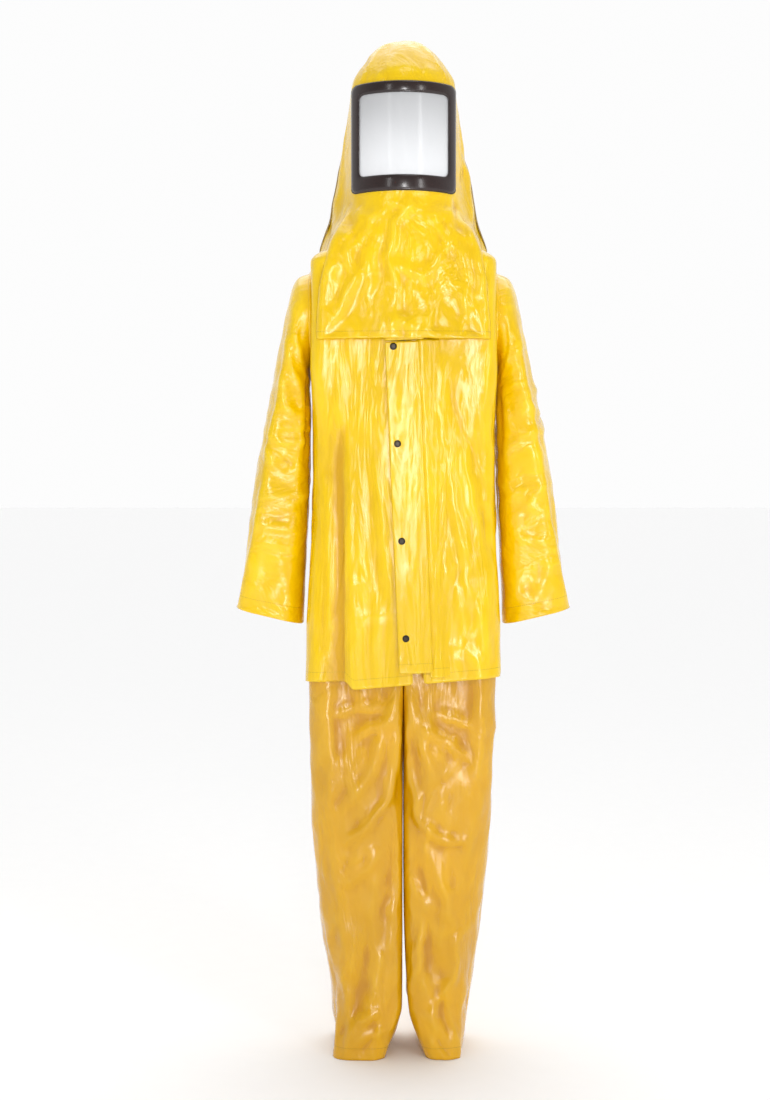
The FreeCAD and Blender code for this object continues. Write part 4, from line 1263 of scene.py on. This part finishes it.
def strip(name, body, columns, rows, across, down, out, finish, thickness=1.0):
    """A flat strip of cloth on the closure; out gives its height over the front at a place on it."""
    place = np.zeros((rows + 1, columns + 1, 3))
    for row, drop in enumerate(np.linspace(*down, rows + 1)):
        for column, u in enumerate(np.linspace(*across, columns + 1)):
            place[row, column] = on_closure(u, out(u, drop), drop)
    mesh = sheet_mesh(place)
    piece = new_piece(name, mesh, body, finish)
    finish_cloth(piece, thickness * MM)
    return piece


class SUIT_OT_closure(bpy.types.Operator):
    """Make the storm flap, the throat flap and the strip they are sewn to"""
    bl_idname = "suit.closure"
    bl_label = "Front flaps"

    def execute(self, context):
        snaps = [SNAP_DROP + k * SNAP_PITCH for k in range(4)]

        def flap_out(u, drop):
            near = min(abs(drop - snap) for snap in snaps)
            free = float(ramp(20, -14, u))
            puff = 0.9 * math.sin(drop * 0.021 + 0.7) + 0.6 * math.sin(drop * 0.055 + u * 0.05)
            crease = 0.8 * abs(math.sin(u * 0.11 + drop * 0.017))
            crease += 0.5 * abs(math.sin(u * 0.23 - drop * 0.011 + 1))
            return 5.3 + free * float(ramp(14, 55, near)) * (1.4 + puff) + crease * float(ramp(42, 30, u))
        cloth = finishes()["jacket"]
        flap = strip("storm_flap_cloth", "storm_flap", 10, 96, (FLAP_LEFT, FLAP_RIGHT), (FLAP_TOP, FLAP_FOOT),
                     flap_out, cloth)
        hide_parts("storm_flap")
        throat = strip("throat_flap_cloth", "jacket", 10, 20, (FLAP_LEFT, 53), (56, 186),
                       lambda u, drop: 5.7 + 0.5 * math.sin(drop * 0.05), cloth)
        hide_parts("throat_flap")
        def sewn_out(u, drop):
            crease = 0.9 * abs(math.sin(u * 0.19 + drop * 0.013))
            crease *= float(ramp(52, 60, u)) * float(ramp(78, 70, u))
            return 4.0 + 0.9 * float(ramp(43.6, 46.0, u)) - 6.4 * float(ramp(46, 78, u)) + crease
        sewn = strip("flap_seam_cloth", "jacket", 14, 90, (38.5, 78), (186, 754), sewn_out, cloth, 0.9)
        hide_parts("flap_strip")
        return {"FINISHED"}


class SUIT_OT_collar(bpy.types.Operator):
    """Make the stand collar and the hang loop"""
    bl_idname = "suit.collar"
    bl_label = "Collar and hang loop"

    def execute(self, context):
        rows, columns = 8, 64
        place = np.zeros((rows + 1, columns + 1, 3))
        for row in range(rows + 1):
            share = row / rows
            height = 42 * (1 - share) + 0.5 * share
            grow = -5 * (1 - share)
            line = jacket_outline((0, 80 + grow, -72 - grow, 80 + grow, 56), 24, -24, 0)
            spot = along(line, np.linspace(0, 1, columns + 1))
            place[row, :, :2], place[row, :, 2] = spot, height + 1.2 * np.sin(spot[:, 0] * 0.09) * (1 - share)
        mesh = sheet_mesh(place)
        collar = new_piece("collar_cloth", mesh, "jacket", finishes()["jacket"])
        finish_cloth(collar, 0.0014)
        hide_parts("collar")
        (x0, y0, z0), (x1, y1, z1) = ((c / MM for c in corner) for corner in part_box("hang_loop"))
        sag = np.linspace(0, 1, 25)
        wide, tall = (x1 - x0) / 2 - 1, z1 - z0
        half = [(0, 1), (wide * 0.4, 1), (wide * 0.8, 0.75), (wide, 0.25), (wide, 0)]
        line = along([(-x, z) for x, z in half[:0:-1]] + half, sag)
        place = np.zeros((25, 3, 3))
        for column, deep in enumerate((0.15, 0.5, 0.85)):
            place[:, column] = np.column_stack([line[:, 0], np.full(25, y0 + (y1 - y0) * deep),
                                                z0 + 1 + line[:, 1] * (tall - 2)])
        mesh = sheet_mesh(place)
        loop = new_piece("hang_loop_tape", mesh, "jacket", finishes()["tape"])
        finish_cloth(loop, 0.0012)
        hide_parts("hang_loop")
        return {"FINISHED"}


class SUIT_OT_waistband(bpy.types.Operator):
    """Make the gathered waistband"""
    bl_idname = "suit.waistband"
    bl_label = "Waistband"

    def execute(self, context):
        rows, columns = 10, 220
        (x0, y0, z0), (x1, y1, z1) = ((c / MM for c in corner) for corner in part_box("waistband"))
        place = np.zeros((rows + 1, columns + 1, 3))
        for row in range(rows + 1):
            share = row / rows
            line = jacket_outline((0, x1 - 0.6, y0 + 0.6, y1 - 0.6, 36), 0.01, 0, 0)
            spot = along(line, np.linspace(0, 1, columns + 1))
            turn = np.linspace(0, math.tau, columns + 1)
            gathers = np.sin(turn * 58) * 0.6 + np.sin(turn * 37 + 2) * 0.4
            pull = 1 - 0.012 * gathers * math.sin(math.pi * share)
            place[row, :, :2] = spot * pull[:, None]
            place[row, :, 2] = z1 + (z0 - z1) * share
        mesh = sheet_mesh(place)
        band = new_piece("waistband_cloth", mesh, "trousers", finishes()["trousers"], 0.0006)
        finish_cloth(band, 0.001)
        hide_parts("waistband")
        return {"FINISHED"}


class SUIT_OT_hardware(bpy.types.Operator):
    """Give the moulded and metal parts their finishes"""
    bl_idname = "suit.hardware"
    bl_label = "Zip, snaps and window"

    def execute(self, context):
        wear = {"zip_teeth": "zip", "zip_top": "zip", "zip_bottom": "zip", "zip_tape": "tape",
                "zip_slider": "metal", "zip_pull": "metal", "snap": "snap", "visor_window": "window",
                "visor_gasket": "gasket", "visor_backing": "surround", "visor_frame": "surround",
                "waist_elastic": "elastic"}
        for name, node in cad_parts.items():
            key = next((finish for start, finish in wear.items() if name.startswith(start)), "plain")
            node.data.materials.clear()
            node.data.materials.append(finishes()[key])
        return {"FINISHED"}


# ---- stage ---------------------------------------------------------------------------------------
class SUIT_OT_stage(bpy.types.Operator):
    """Set the floor, the soft lights and the camera"""
    bl_idname = "suit.stage"
    bl_label = "Stage"

    def execute(self, context):
        scene = context.scene
        floor_z = CAD_BOX[0][2]
        mesh = bmesh.new()
        bmesh.ops.create_grid(mesh, x_segments=1, y_segments=1, size=60.0)
        for vert in mesh.verts:
            vert.co.z = floor_z - 0.0005
        data = bpy.data.meshes.new("floor")
        mesh.to_mesh(data)
        mesh.free()
        floor = bpy.data.objects.new("floor", data)
        scene.collection.objects.link(floor)
        pale = Finish("pale_floor")
        grain = pale.noise(pale.place(), 30.0)
        rgb = colours().floor
        data.materials.append(pale.done({"Base Color": pale.mix(grain, shade(rgb, 0.99), shade(rgb, 1.01)),
                                         "Roughness": 0.9}))
        world = bpy.data.worlds.new("room")
        scene.world = world
        world.use_nodes = True
        tree = world.node_tree
        sky = tree.nodes["Background"]
        sky.inputs["Color"].default_value = (1, 1, 1, 1)
        where, split, swing = (tree.nodes.new("ShaderNode" + kind)
                               for kind in ("TexCoord", "SeparateXYZ", "MapRange"))
        swing.inputs["From Min"].default_value, swing.inputs["From Max"].default_value = -0.7, 0.8
        swing.inputs["To Min"].default_value, swing.inputs["To Max"].default_value = 0.36, 0.98
        tree.links.new(where.outputs["Generated"], split.inputs["Vector"])
        tree.links.new(split.outputs["Y"], swing.inputs["Value"])
        tree.links.new(swing.outputs["Result"], sky.inputs["Strength"])
        for name, place, size, power, aim in (
                ("front_light", (0.10, -3.5, 0.05), (0.34, 0.9), 21, (0, 0, -0.5)),
                ("left_light", (-1.5, -3.0, 0.6), (0.25, 1.3), 5, (0, 0, -0.5)),
                ("right_light", (1.7, -2.7, 0.3), (0.30, 1.3), 11, (0, 0, -0.6)),
                ("low_light", (0.30, -2.3, -1.22), (0.55, 0.22), 6.5, (0, 0, -0.95)),
                ("top_light", (0.4, -1.4, 2.2), (1.0, 0.7), 6, (0, 0, -0.3))):
            lamp, light = self.light(name, "AREA", power)
            lamp.shape, lamp.size, lamp.size_y = "RECTANGLE", size[0], size[1]
            light.location = place
            light.rotation_euler = (Vector(aim) - Vector(place)).to_track_quat("-Z", "Y").to_euler()
        lamp, light = self.light("floor_light", "SUN", 1.2)
        lamp.angle = math.radians(70)
        light.rotation_euler = Vector((0, -0.45, -1)).to_track_quat("-Z", "Y").to_euler()
        eye = bpy.data.cameras.new("eye")
        camera = bpy.data.objects.new("eye", eye)
        scene.collection.objects.link(camera)
        camera.location = (-0.0315, -sizes().eye_distance, floor_z + sizes().eye_height)
        aim = Vector((-0.0315, 0, -0.5415))
        camera.rotation_euler = (aim - camera.location).to_track_quat("-Z", "Y").to_euler()
        eye.sensor_fit = "VERTICAL"
        eye.angle = 2 * math.atan(1.925 / 2 / sizes().eye_distance)
        scene.camera = camera
        scene.view_settings.view_transform = "Standard"
        return {"FINISHED"}

    @staticmethod
    def light(name, kind, power):
        lamp = bpy.data.lights.new(name, kind)
        lamp.energy = power
        light = bpy.data.objects.new(name, lamp)
        bpy.context.scene.collection.objects.link(light)
        return lamp, light


class SUIT_PT_panel(bpy.types.Panel):
    """Lists the suit's pieces"""
    bl_idname = "SUIT_PT_panel"
    bl_label = "Suit"
    bl_space_type = "VIEW_3D"
    bl_region_type = "UI"
    bl_category = "Suit"

    def draw(self, context):
        for group in (context.scene.suit_sizes, context.scene.suit_colours):
            for name in group.bl_rna.properties.keys():
                if name not in ("rna_type", "name"):
                    self.layout.prop(group, name)
        for operator in OPERATORS:
            self.layout.operator(operator.bl_idname)


OPERATORS = (SUIT_OT_stage, SUIT_OT_hardware, SUIT_OT_trousers, SUIT_OT_waistband, SUIT_OT_jacket,
             SUIT_OT_armholes, SUIT_OT_sleeves, SUIT_OT_collar, SUIT_OT_closure, SUIT_OT_hood,
             SUIT_OT_crown_welt, SUIT_OT_visor)
CLASSES = (SuitSizes, SuitColours, *OPERATORS, SUIT_PT_panel)


def register():
    for part in CLASSES:
        bpy.utils.register_class(part)
    bpy.types.Scene.suit_sizes = PointerProperty(type=SuitSizes)
    bpy.types.Scene.suit_colours = PointerProperty(type=SuitColours)


def unregister():
    del bpy.types.Scene.suit_sizes, bpy.types.Scene.suit_colours
    for part in reversed(CLASSES):
        bpy.utils.unregister_class(part)


def main():
    register()
    for operator in OPERATORS:
        group, name = operator.bl_idname.split(".")
        getattr(getattr(bpy.ops, group), name)()


if __name__ == "__main__":
    main()
